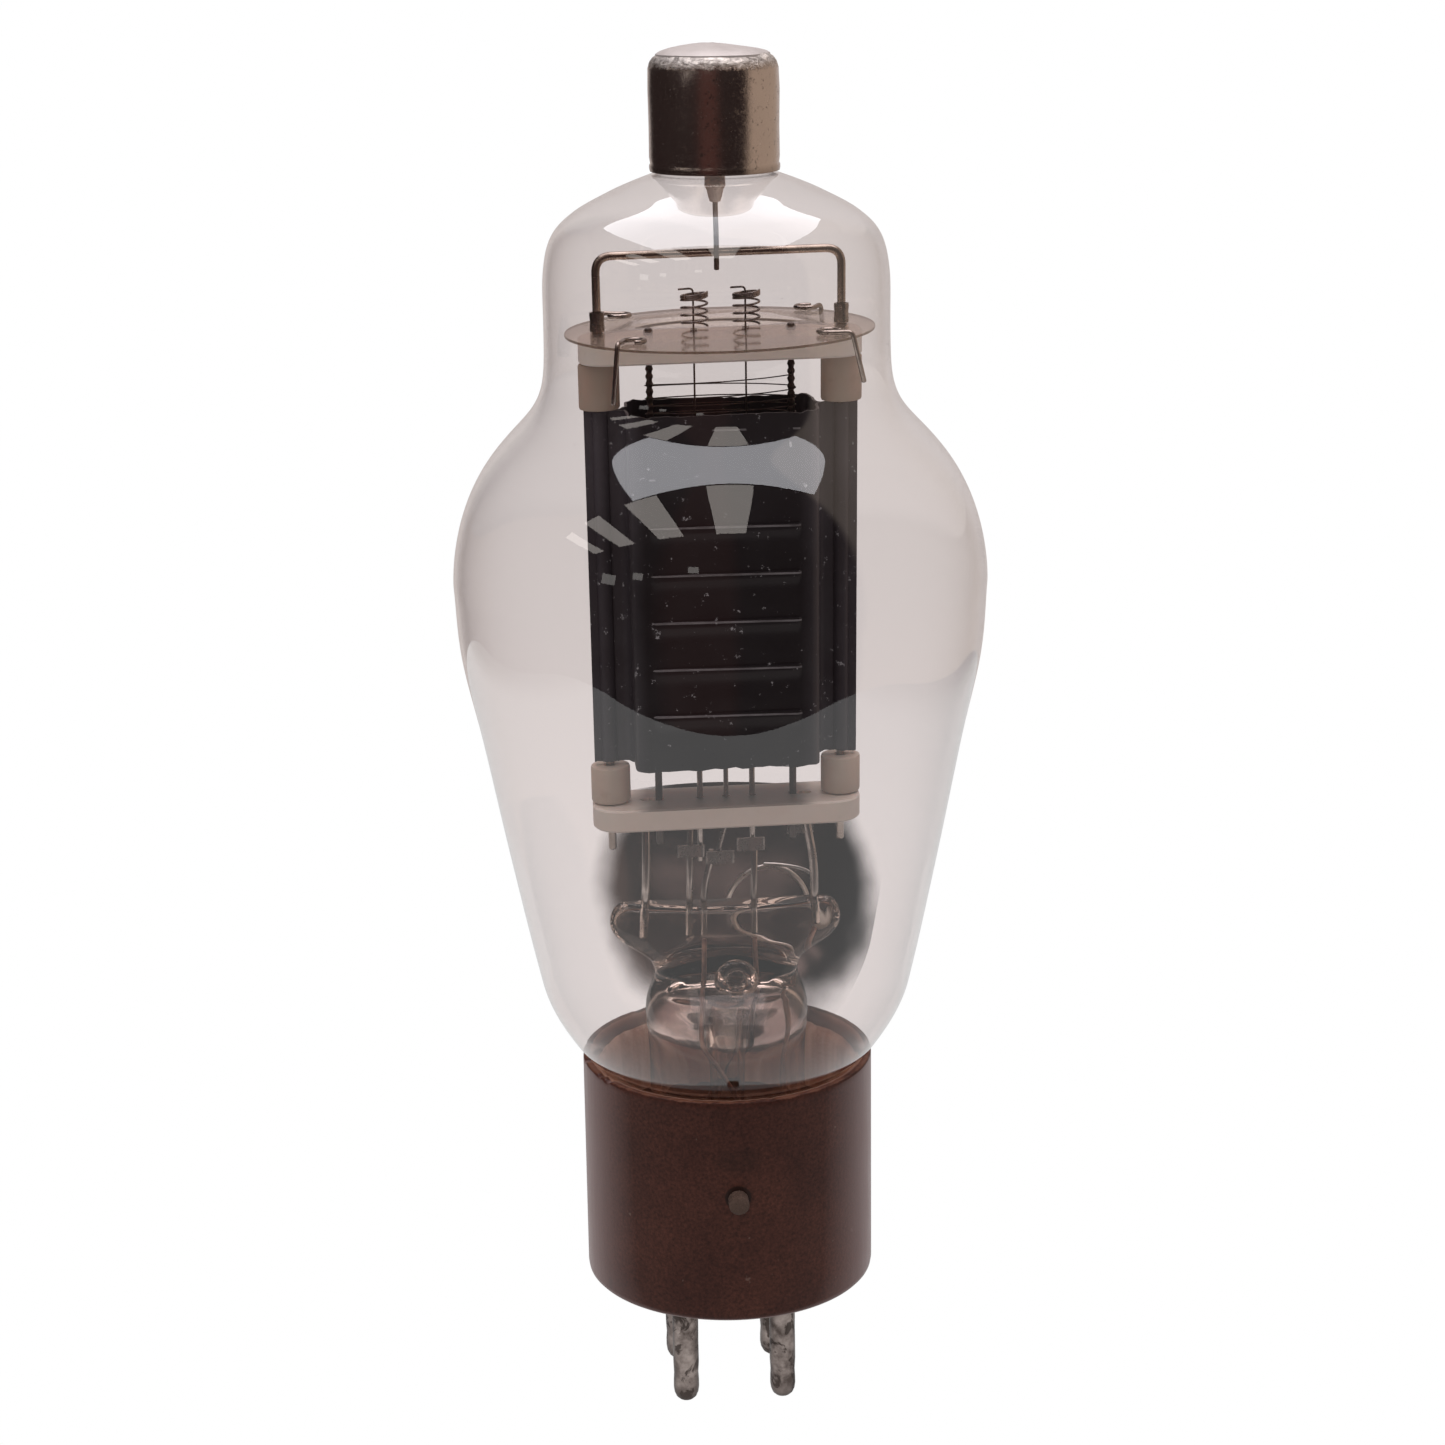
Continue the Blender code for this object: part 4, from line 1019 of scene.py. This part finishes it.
def build_stem():
    outside = [
        (13.4, 13.5, 13.5, 0), (14.2, 12.4, 12.4, 0), (15.5, 10.9, 10.9, 0), (17.2, 9.95, 9.95, 0),
        (19.0, 9.6, 9.6, 0), (23.0, 9.4, 9.4, 0), (27.0, 9.4, 9.4, 0), (30.0, 9.55, 9.5, 0),
        (32.5, 9.8, 9.6, 0), (34.2, 9.7, 8.9, 0), (35.5, 9.4, 7.8, 0), (36.8, 8.9, 6.4, 0),
        (38.0, 8.6, 5.2, 0), (39.0, 8.8, 4.4, 0), (40.0, 9.4, 3.9, 0), (41.0, 10.8, 3.5, 0),
        (42.0, 12.4, 3.15, 0), (43.2, 13.5, 2.95, 0), (44.4, 13.85, 2.75, 0), (45.5, 13.6, 2.45, 0.2),
        (46.2, 13.0, 2.0, 0.4), (46.5, 12.3, 1.4, 0.5),
    ]
    inside = [
        (13.4, 12.5, 12.5, 0), (15.9, 9.7, 9.7, 0), (19.5, 8.5, 8.5, 0), (27.0, 8.3, 8.3, 0),
        (30.0, 8.6, 8.2, 0), (32.0, 8.7, 7.4, 0), (33.6, 8.2, 6.0, 0), (34.8, 7.4, 4.6, 0),
        (35.8, 6.4, 3.2, 0), (36.4, 5.2, 1.8, 0),
    ]
    sides = 64
    rings = [stem_ring(z, a, b, sides, e) for z, a, b, e in smooth_rows(inside)[::-1]]
    rings += [stem_ring(z, a, b, sides, e) for z, a, b, e in smooth_rows(outside)]
    verts = [v for ring in rings for v in ring]
    stem = new_object("stem_fine", verts, closed_tube(len(rings), sides), sharp=60)
    face_out(stem)
    cutter = tube("pumping_cutter", [(0.9, -9, 38.5), (0.9, -2.6, 38.1), (0.9, -1.4, 35.0)], 1.2, 24, round_ends=False)
    subtract(stem, cutter)
    shade(stem.data, 60)
    finish_piece(stem, "stem_glass", "stem_glass", "glass_stem")

    lip = [
        (0.9 + 1.9 * math.cos(a), -5.15 + 0.35 * math.sin(a) ** 2, 38.4 + 1.75 * math.sin(a)) for a in circle(40)
    ]
    rim = ring_tube("pumping_rim", lip, 0.75, 16)
    finish_piece(rim, "stem_glass", "stem_glass")

    bore, r = 1.25, 2.05
    profile = [(0, 6.0), (0.5, 6.05), (1.0, 6.7), (1.7, 8.4), (r, 10.5), (r, 33.4), (bore, 33.4), (bore, 10.8)]
    profile += [(0.7, 9.2), (0, 8.8)]
    exhaust = lathe("exhaust_fine", profile, 32)
    finish_piece(exhaust, "stem_glass", "stem_glass", "exhaust_tube")


def smooth_rows(rows):
    """Rows with a smooth curve through each of their columns."""
    columns = []
    for values in zip(*rows):
        columns.append([p.x for p in catmull([(v, 0.0) for v in values], 3)])
    return list(zip(*columns))


# ---------------------------------------------------------------- wires below the mount

GRID_LEAD = [(10.6, 0, 43.2), (9.6, 0, 41.4), (7.6, 0, 37.8), (6.6, 0, 34.4), (6.3, -2.0, 30.0), (6.2, -4.2, 22.0)]
GRID_LEAD += [(PIN_X, -5.4, 12.0), (PIN_X, -PIN_Y, 5.0), (PIN_X, -PIN_Y, -8.0)]
LEAD_A = [(-2.6, 0, 42.2), (-2.6, 0, 34.8), (-3.0, -3.4, 30.5), (-0.6, -4.8, 26.0), (2.6, -4.2, 20.0)]
LEAD_A += [(5.2, 1.6, 12.0), (PIN_X, 5.4, 6.5), (PIN_X, PIN_Y, -8.0)]
LEAD_B = [(3.4, 0, 42.2), (3.4, 0, 34.8), (3.2, 3.5, 30.5), (0.4, 4.9, 25.0), (-3.2, 5.1, 17.0)]
LEAD_B += [(-5.6, 5.5, 9.0), (-PIN_X, PIN_Y, 5.5), (-PIN_X, PIN_Y, -8.0)]


def wire(node, path, radius, look, slot, body=ROOT, sides=12):
    """A wire that stands for the CAD node of its name."""
    piece = tube(node + "_fine", path, radius, sides)
    return finish_piece(piece, look, slot, node, body=body)


def stretched_wire(node, path, radius, look, low, high):
    """A wire that stands for the CAD node of its name, settled with the mount; low and high are not used."""
    piece = tube(node + "_fine", path, radius, 8)
    settle(piece)
    piece.data.materials.append(LOOKS[look])
    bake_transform(piece)
    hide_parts(node)


def build_stem_wires():
    top = 58.5
    wire("support_rod_left", [(-9.7, 0, 42.6), (-9.7, 0, 50), (-9.7, 0, top)], 0.52, "nickel", "nickel")
    bend = rounded_path([(10.7, 0, 43.6), (10.7, 0, 50.5), (9.7, 0, 55.8), (9.7, 0, top)], 2.2)
    wire("support_rod_right", bend, 0.52, "nickel", "nickel")
    wire("filament_lead_left", [(-4.4, 0, 42.6), (-4.4, 0, 50), (-4.4, 0, 56.2)], 0.4, "nickel", "nickel")
    crank = rounded_path([(-2.6, 0, 42.6), (-2.6, 0, 48.5), (-1.95, 0, 51.5), (-1.9, 0, 52.8)], 1.5)
    wire("filament_lead_centre", crank, 0.4, "nickel", "nickel")
    wire("filament_lead_right", [(3.4, 0, 42.6), (3.4, 0, 48), (3.4, 0, 53.2)], 0.4, "nickel", "nickel")
    wire("pin_wire_grid", rounded_path(GRID_LEAD, 2.0, 4), 0.3, "copper", "copper", sides=10)
    wire("pin_wire_filament_a", rounded_path(LEAD_A, 2.5, 6), 0.3, "copper", "copper", sides=10)
    wire("pin_wire_filament_b", rounded_path(LEAD_B, 2.5, 6), 0.3, "copper", "copper", sides=10)


def build_straps():
    """Nickel strips folded across the leads."""
    for node in ("strap_left", "strap_centre", "strap_right", "grid_strap"):
        low, high = box_mm(node)
        if node == "grid_strap":
            thick = 0.2
            outline = [(low.x, low.y), (high.x, high.y - thick), (high.x, high.y), (low.x, low.y + thick)]
            strip = plate(node + "_fine", outline, low.z, high.z, 0.04)
        else:
            strip = folded_strip(node + "_fine", low, high)
        finish_piece(strip, "strap", "nickel", node)


def folded_strip(name, low, high):
    """A strip with rounded folds at both ends and a slight hollow between the wires."""
    thick, fold = 0.18, 0.3
    width = high.x - low.x
    front = []
    for k in range(25):
        t = k / 24
        x = low.x + width * t
        edge = min(t, 1 - t) * width
        y = low.y + (fold - thick) * max(0.0, 1 - edge / 0.3) ** 1.5 + 0.06 * math.sin(math.pi * t) ** 2
        front.append((x, y))
    back = [(min(max(x, low.x + 0.12), high.x - 0.12), y + thick) for x, y in reversed(front)]
    return plate(name, front + back, low.z, high.z, 0.03)


def build_getter():
    centre = Vector((5.6, 6.0, 43.6))
    points = [centre + Vector((5.0 * math.cos(a), 0, 5.0 * math.sin(a))) for a in circle(64)]
    ring = ring_tube("getter_ring_fine", points, 0.29, 12)
    finish_piece(ring, "getter", "getter_metal", "getter_ring")
    arm = rounded_path([(10.7, 0.85, 49.0), (9.6, 3.6, 48.95), (7.2, 5.4, 48.9), (5.0, 6.0, 48.9)], 1.5)
    wire("getter_strut", arm, 0.21, "getter", "getter_metal")


# ---------------------------------------------------------------- mount


def build_insulators():
    low, high = box_mm("lower_ceramic")
    outline = rounded_rectangle(high.x, high.y, 3.4)
    rods = [(s * ROD_X, 0, ROD_HOLE) for s in (-1, 1)]
    slots = [(s * x, 0, 0.67) for s in (-1, 1) for x in (GRID_X, 8.9, 9.7)]
    posts = [(x, 0, 0.5) for x in (-POST_X, 0, POST_X)]
    bar = plate("lower_ceramic_fine", outline, low.z, high.z, 0.22, rods + posts)
    for hole in slots:
        drill(bar, [hole], low.z, high.z)
    finish_piece(bar, "ceramic", "ceramic", "lower_ceramic")

    low, high = box_mm("upper_ceramic")
    grid = [(s * GRID_X, 0, GRID_HOLE) for s in (-1, 1)]
    hooks = [(s * HOOK_X, 0, HOOK_HOLE) for s in (-1, 1)]
    bar = plate("upper_ceramic_fine", outline, low.z + UPPER_TRIM, high.z, 0.22, rods + grid + hooks)
    # The upper bar takes the lighter copy of the steatite: painted light where it is lit.
    finish_piece(bar, "ceramic_painted_light", "ceramic", "upper_ceramic")

    for level in ("upper", "lower"):
        for word, side in SIDES:
            node = f"bushing_{level}_{word}"
            low, high = box_mm(node)
            r = (high.x - low.x) / 2
            a, b = low.z, high.z + (UPPER_TRIM if level == "upper" else 0.0)
            ring = [(0.62, a + 0.1), (0.75, a), (r - 0.3, a), (r - 0.08, a + 0.08), (r, a + 0.3), (r, (a + b) / 2)]
            ring += [(r, b - 0.3), (r - 0.08, b - 0.08), (r - 0.3, b), (0.75, b), (0.62, b - 0.1)]
            piece = lathe(node + "_fine", ring, 48, closed=True, centre=(side * ROD_X, 0, 0))
            finish_piece(piece, "bushing", "bushing_ceramic", node)

    build_mica()


def build_mica():
    """The mica disc: an edge that flakes a little, and a narrow curved slot behind the springs."""
    outline = []
    for angle in circle(160):
        r = MICA_R + 0.2 - 0.05 * abs(rough((*polar(9, angle), 0), 1.2, 4.0))
        outline.append(polar(r, angle))
    holes = [(s * ROD_X, 0, ROD_HOLE) for s in (-1, 1)] + [(s * HOOK_X, 0, HOOK_HOLE) for s in (-1, 1)]
    holes += [(s * GRID_X, 0, GRID_HOLE) for s in (-1, 1)]
    disc = plate("mica_fine", outline, MICA_LOW, MICA_TOP, 0.04, holes)
    half_x, half_y, width, steps = 9.6, 7.4, 0.6, 36
    edge = []
    for grow, order in ((0, 1), (width, -1)):
        for step in range(steps + 1)[::order]:
            angle = math.radians(22 + 136 * step / steps)
            edge.append(((half_x + grow) * math.cos(angle), (half_y + grow) * math.sin(angle)))
    subtract(disc, plate("mica_slot", edge[::-1], MICA_LOW - 1, MICA_TOP + 1, 0.01))
    finish_piece(disc, "mica", "mica", "mica_disc")


def anode_section(side):
    """(x, y) centre line of one pressed anode half; side is -1 at the front and 1 at the back."""
    seam, channel, depth = 0.25, 0.85, 6.0
    angles = [0.3 + k * (2.84 - 0.3) / 12 for k in range(13)]
    rod = [(ROD_X + channel * math.cos(a), channel * math.sin(a)) for a in angles]
    wing = [(15.7, seam), (15.35, seam), (15.0, seam)] + rod + [(12.6, seam), (12.0, seam), (11.5, 0.42), (11.05, 0.85)]
    box = [(10.82, 1.6), (10.8, 3.0), (10.77, depth - 1.5), (10.62, depth - 0.8), (10.3, depth - 0.32)]
    box += [(9.8, depth - 0.06), (9.4, depth), (8.75, depth), (8.55, depth), (8.35, depth), (8.15, depth)]
    flat = [(8.0 - k * 0.8, depth) for k in range(1, 11)]
    half = wing + box + flat
    return [(-x, side * y) for x, y in half] + [(x, side * y) for x, y in reversed(half[:-1])]


def ledge_levels():
    """(height, outward step) rows of the anode: five pressed ledges between a plain top and bottom."""
    step, slope = 0.4, 1.7
    rows = [(ANODE_LOW + 0.3, 0.0), (ANODE_LOW + 1.2, 0.0), (ANODE_LOW + 3.0, 0.0)]
    for k in range(5):
        ledge = FIRST_LEDGE + k * LEDGE_PITCH
        rows += [(ledge - slope - 0.6, 0.0), (ledge - slope, 0.0), (ledge - slope * 0.66, step * 0.28)]
        rows += [(ledge - slope * 0.33, step * 0.72), (ledge - 0.06, step), (ledge + 0.05, step * 0.9)]
        rows += [(ledge + 0.14, 0.0), (ledge + 0.8, 0.0), (ledge + 2.2, 0.0)]
    return rows + [(97.5, 0.0), (101.0, 0.0), (104.0, 0.0), (ANODE_TOP - 0.8, 0.0), (ANODE_TOP, 0.0)]


def build_anode():
    for node, side in (("anode_front", -1), ("anode_rear", 1)):
        section = anode_section(side)
        verts = []
        rows = ledge_levels()
        for index, (z, out) in enumerate(rows):
            for x, y in section:
                share = min(1.0, max(0.0, (8.7 - abs(x)) / 0.45))
                here = Vector((x, y + side * out * share, z))
                if index in (0, len(rows) - 1):
                    ragged = 0.16 * rough(here, 1.3, 2.0 + side) + 0.22 * rough(here, 0.6, 9.0)
                    here.z += ragged * (1 if index else -1)
                buckle = 0.09 * rough(here, 7.0, 6.0 + side)
                here.y += side * buckle * (1 if abs(x) < 10.6 else 0.2)
                if index == 0 and x < -9.5 and side < 0 and abs(y) > 3:
                    here.y += -0.25
                verts.append(here)
        half = new_object(node + "_fine", verts, bands(len(rows), len(section), wrap=False), sharp=50)
        sheet = half.modifiers.new("sheet", "SOLIDIFY")
        sheet.thickness = 0.3 * MM
        sheet.offset = 0.0
        apply_modifiers(half)
        shade(half.data, 50)
        face_out(half)
        finish_piece(half, "anode", "carbonised_nickel", node)

    for word, side in SIDES:
        x = side * ROD_X
        low, high = box_mm(f"anode_rod_{word}")
        wire(f"anode_rod_{word}", [(x, 0, low.z), (x, 0, 80), (x, 0, high.z)], ROD_R, "yoke", "nickel", sides=16)
        low, high = box_mm(f"yoke_sleeve_{word}")
        a, b = low.z, high.z
        ring = [(0.56, a), (0.84, a), (0.85, a + 0.3), (0.8, b - 0.9), (0.86, b - 0.3), (0.82, b), (0.6, b)]
        sleeve = lathe(f"yoke_sleeve_{word}_fine", ring, 32, closed=True, centre=(x, 0, 0))
        finish_piece(sleeve, "strap", "nickel", f"yoke_sleeve_{word}")
    top = YOKE_TOP - ROD_R
    yoke = rounded_path([(-ROD_X, 0, 116.2), (-ROD_X, 0, top), (ROD_X, 0, top), (ROD_X, 0, 116.2)], 1.9, 12)
    wire("anode_yoke", yoke, ROD_R, "yoke", "nickel", sides=20)


def build_grid():
    low, high, turns = 65.6, 108.7, 49
    for word, side in SIDES:
        x = side * GRID_X
        base, tip = box_mm(f"grid_rod_{word}")
        steps = 260
        path, widths = [], []
        for k in range(steps + 1):
            z = base.z + (tip.z - base.z) * k / steps
            path.append((x, 0, z))
            notch = 0.5 + 0.5 * math.cos(2 * math.pi * (z - low) * turns / (high - low))
            widths.append(0.46 - (0.16 * notch if low < z < high + 4 else 0.03))
        rod = tube(f"grid_rod_{word}_fine", path, lambda t, w=widths: w[round(t * (len(w) - 1))], 14)
        finish_piece(rod, "grid", "molybdenum", f"grid_rod_{word}")

    around, bow = 0.52, 2.2
    loop = [(GRID_X + around * math.cos(a), around * math.sin(a)) for a in (-1.2, -0.7, 0.0, 0.7, 1.2)]
    loop += [(x, bow - 0.025 * x * x) for x in (6.8, 5.0, 2.5, 0.0, -2.5, -5.0, -6.8)]
    loop += [(-x, -y) for x, y in loop]
    count = turns * len(loop)
    rise = (high - low) / count
    last = 1.2 * len(loop)
    path = []
    for k in range(count + 1):
        loose = max(0.0, (k - count + last) / last)
        path.append((*loop[k % len(loop)], low + k * rise + 1.0 * loose))
    winding = tube("grid_winding_fine", path, 0.075, 5)
    finish_piece(winding, "grid", "molybdenum", "grid_winding")


def build_filament():
    joint_z = 67.0
    for word, side in SIDES:
        hook_body = f"hook_{word}"
        low, high = box_mm(f"filament_post_{word}")
        post = [(side * POST_X, 0, low.z), (side * POST_X, 0, 60), (side * POST_X, 0, high.z)]
        wire(f"filament_post_{word}", post, 0.35, "nickel", "nickel")

        away = 0.55
        path = [(side * POST_X, away, joint_z - 2), (side * POST_X, away, joint_z)]
        path += [(side * (APEX_X + 0.35), -0.5, APEX_Z - 0.6), (side * APEX_X, -0.5, APEX_Z)]
        path += [(side * (APEX_X - 0.35), -0.5, APEX_Z - 0.6)]
        path += [(0, -away * side, joint_z), (0, -away * side, joint_z - 2)]
        stretched_wire(f"filament_{word}", rounded_path(path, 0.3, 3), 0.1, "spring", 65.0, APEX_Z)

        half_turn = [k * math.pi / 8 for k in range(9)]
        crook = [(side * APEX_X, -0.5 - 0.5 * math.cos(a), APEX_Z - 0.5 * math.sin(a)) for a in half_turn]
        arm_z = 119.9
        hook = [(side * HOOK_X - 1.7, -0.3, arm_z - 0.02), (side * HOOK_X, 0, arm_z), (side * HOOK_X, 0, 104.0)]
        hook += [(side * APEX_X, 0, 102.6)] + crook[::-1]
        wire(f"filament_hook_{word}", rounded_path(hook, 0.5, 4), 0.12, "spring", "tungsten", hook_body, sides=8)

        low, high = box_mm(f"tension_spring_{word}")
        coil = coil_path(Vector((side * HOOK_X + 0.12, 0, 0)), 1.48, low.z + 0.14, high.z - 0.13, 6.0)
        stretched_wire(f"tension_spring_{word}", coil, 0.135, "spring", low.z, high.z)
    tap = rounded_path([(-1.0, 0, 51.3), (-1.0, 0, 52.9), (0, 0, 56.4), (0, 0, 68.4)], 1.2)
    wire("filament_post_centre", tap, 0.3, "nickel", "nickel")


def coil_path(centre, radius, low, high, turns):
    """A coil whose last turn at each end lies flat."""
    points, per_turn = [], 28
    count = int(turns * per_turn)
    for k in range(count + 1):
        t = k / count
        eased = 1.35 * t if t < 2 / 3 else 0.9 + 0.3 * (t - 2 / 3)
        angle = 2 * math.pi * k / per_turn
        tilt = 0.16 * min(1.0, max(0.0, (t - 0.6) / 0.2)) * (math.cos(angle) - 1)
        z = low + (high - low) * eased + tilt
        points.append(centre + Vector((*polar(radius, angle), z)))
    return points


def build_bulb_springs():
    eye, thick = 1.2, 0.28
    flat = MICA_TOP + thick + 0.12
    places = {
        "front_left": ((-10.1, -10.6), (-11.95, -13.2), (-12.6, -13.35, 109.1)),
        "front_right": ((11.6, -8.7), (13.95, -11.1), (15.4, -10.0, 110.0)),
        "rear_left": ((-11.0, 10.6), (-13.3, 11.9), (-13.8, 12.1, 110.0)),
        "rear_right": ((10.9, 11.9), (12.7, 12.5), (13.2, 12.75, 110.0)),
    }
    for word, (centre, bend, foot) in places.items():
        towards = math.atan2(bend[1] - centre[1], bend[0] - centre[0])
        angles = [towards + math.radians(a) for a in range(38, 323, 12)]
        loop = [(centre[0] + eye * math.cos(a), centre[1] + eye * math.sin(a), flat) for a in angles]
        over = rounded_path([loop[-1], (*bend, flat + 0.15), foot], 0.7, 8)
        wire(f"bulb_spring_{word}", loop[:-1] + over, thick, "nickel", "nickel")


# ---------------------------------------------------------------- anode cap


def build_cap():
    r, top, low = CAP_R, CAP_TOP, CAP_LOW
    profile = offsets(0, top, (0, -0.02), (2.4, -0.03), (3.8, -0.12), (5.2, -0.34), (6.2, -0.66), (6.75, -1.0))
    profile += [(7.12, top - 1.5), (r - 0.08, top - 2.2), (r - 0.03, top - 4.5), (r - 0.06, 138), (r - 0.05, low + 1.6)]
    profile += offsets(r, low, (-0.13, 1.0), (-0.13, 0.88), (-0.03, 0.7), (-0.03, 0.35), (-0.1, 0.05), (-0.3, 0))
    profile += offsets(r, low, (-0.45, 0.3), (-0.5, 3))
    profile += [(r - 0.5, top - 2.5)] + offsets(0, top, (6.3, -1.0), (4, -0.5), (0, -0.45))

    def warp(point, angle):
        flat = math.hypot(point.x, point.y)
        if flat < 0.01:
            return point
        dent = 0.05 * rough((point.x, point.y, point.z), 3.0, 2.0) - 0.02
        out = Vector((point.x / flat, point.y / flat, 0))
        return point + out * min(dent, 0.0)

    cap = lathe("plate_cap_fine", profile, 128, warp=warp, sharp=60)
    finish_piece(cap, "cap", "cap_metal", "plate_cap")

    high = box_mm("cap_solder")[1].z
    blob = offsets(0, top, (0, -0.9), (6.35, -0.9), (6.3, -0.62), (5.9, -0.36), (5.0, -0.06), (3.8, 0.19), (2.6, 0.37))
    blob += [(1.4, high - 0.04), (0.6, high), (0, high)]

    def melt(point, angle):
        swell = 1 + 0.12 * rough((*polar(2, angle), 0), 1.5, 7.0)
        sag = 0.05 * max(0.0, point.x + 1.5) * max(0.0, 1 - (math.hypot(point.x, point.y) / 6.2) ** 2)
        return Vector((point.x * min(swell, 1.02), point.y * min(swell, 1.02), point.z - sag))

    solder = lathe("cap_solder_fine", blob, 64, warp=melt)
    finish_piece(solder, "solder", "solder", "cap_solder")

    ring = [(5.95, 135.2), (6.2, 134.5), (6.8, 134.2), (6.8, 140.6), (5.6, 140.6), (5.85, 136.4)]
    cement_ring = lathe("cap_cement_fine", ring, 96, closed=True)
    finish_piece(cement_ring, "cap_cement", "cement", "cap_cement")

    bead = [(0.36, 129.6), (0.62, 129.7), (0.8, 130.3), (0.95, 131.0), (1.2, 131.4), (1.15, 132.3), (1.2, 134)]
    bead += [(1.2, 142.0), (0.8, 142.6), (0.4, 142.6)]
    seal = lathe("lead_seal_fine", bead, 32, closed=True)
    finish_piece(seal, "bead_glass", "seal_glass", "lead_seal")

    drop = rounded_path([(0, 0, top + 0.4), (0, 0, 128.8), (0, -1.05, 126.2), (0, -1.05, 122.1)], 1.2)
    lead = tube("anode_lead_fine", drop, lambda t: 0.3, 16)
    finish_piece(lead, "grid", "tungsten", "anode_lead")


def main():
    bpy.context.scene.view_settings.view_transform = "Standard"
    make_camera()
    make_world()
    make_lights()
    make_floor()
    LOOKS.update(make_materials())
    build_base()
    build_pins()
    build_bulb()
    build_stem()
    build_stem_wires()
    build_straps()
    build_getter()
    build_insulators()
    build_anode()
    build_grid()
    build_filament()
    build_bulb_springs()
    build_cap()


main()
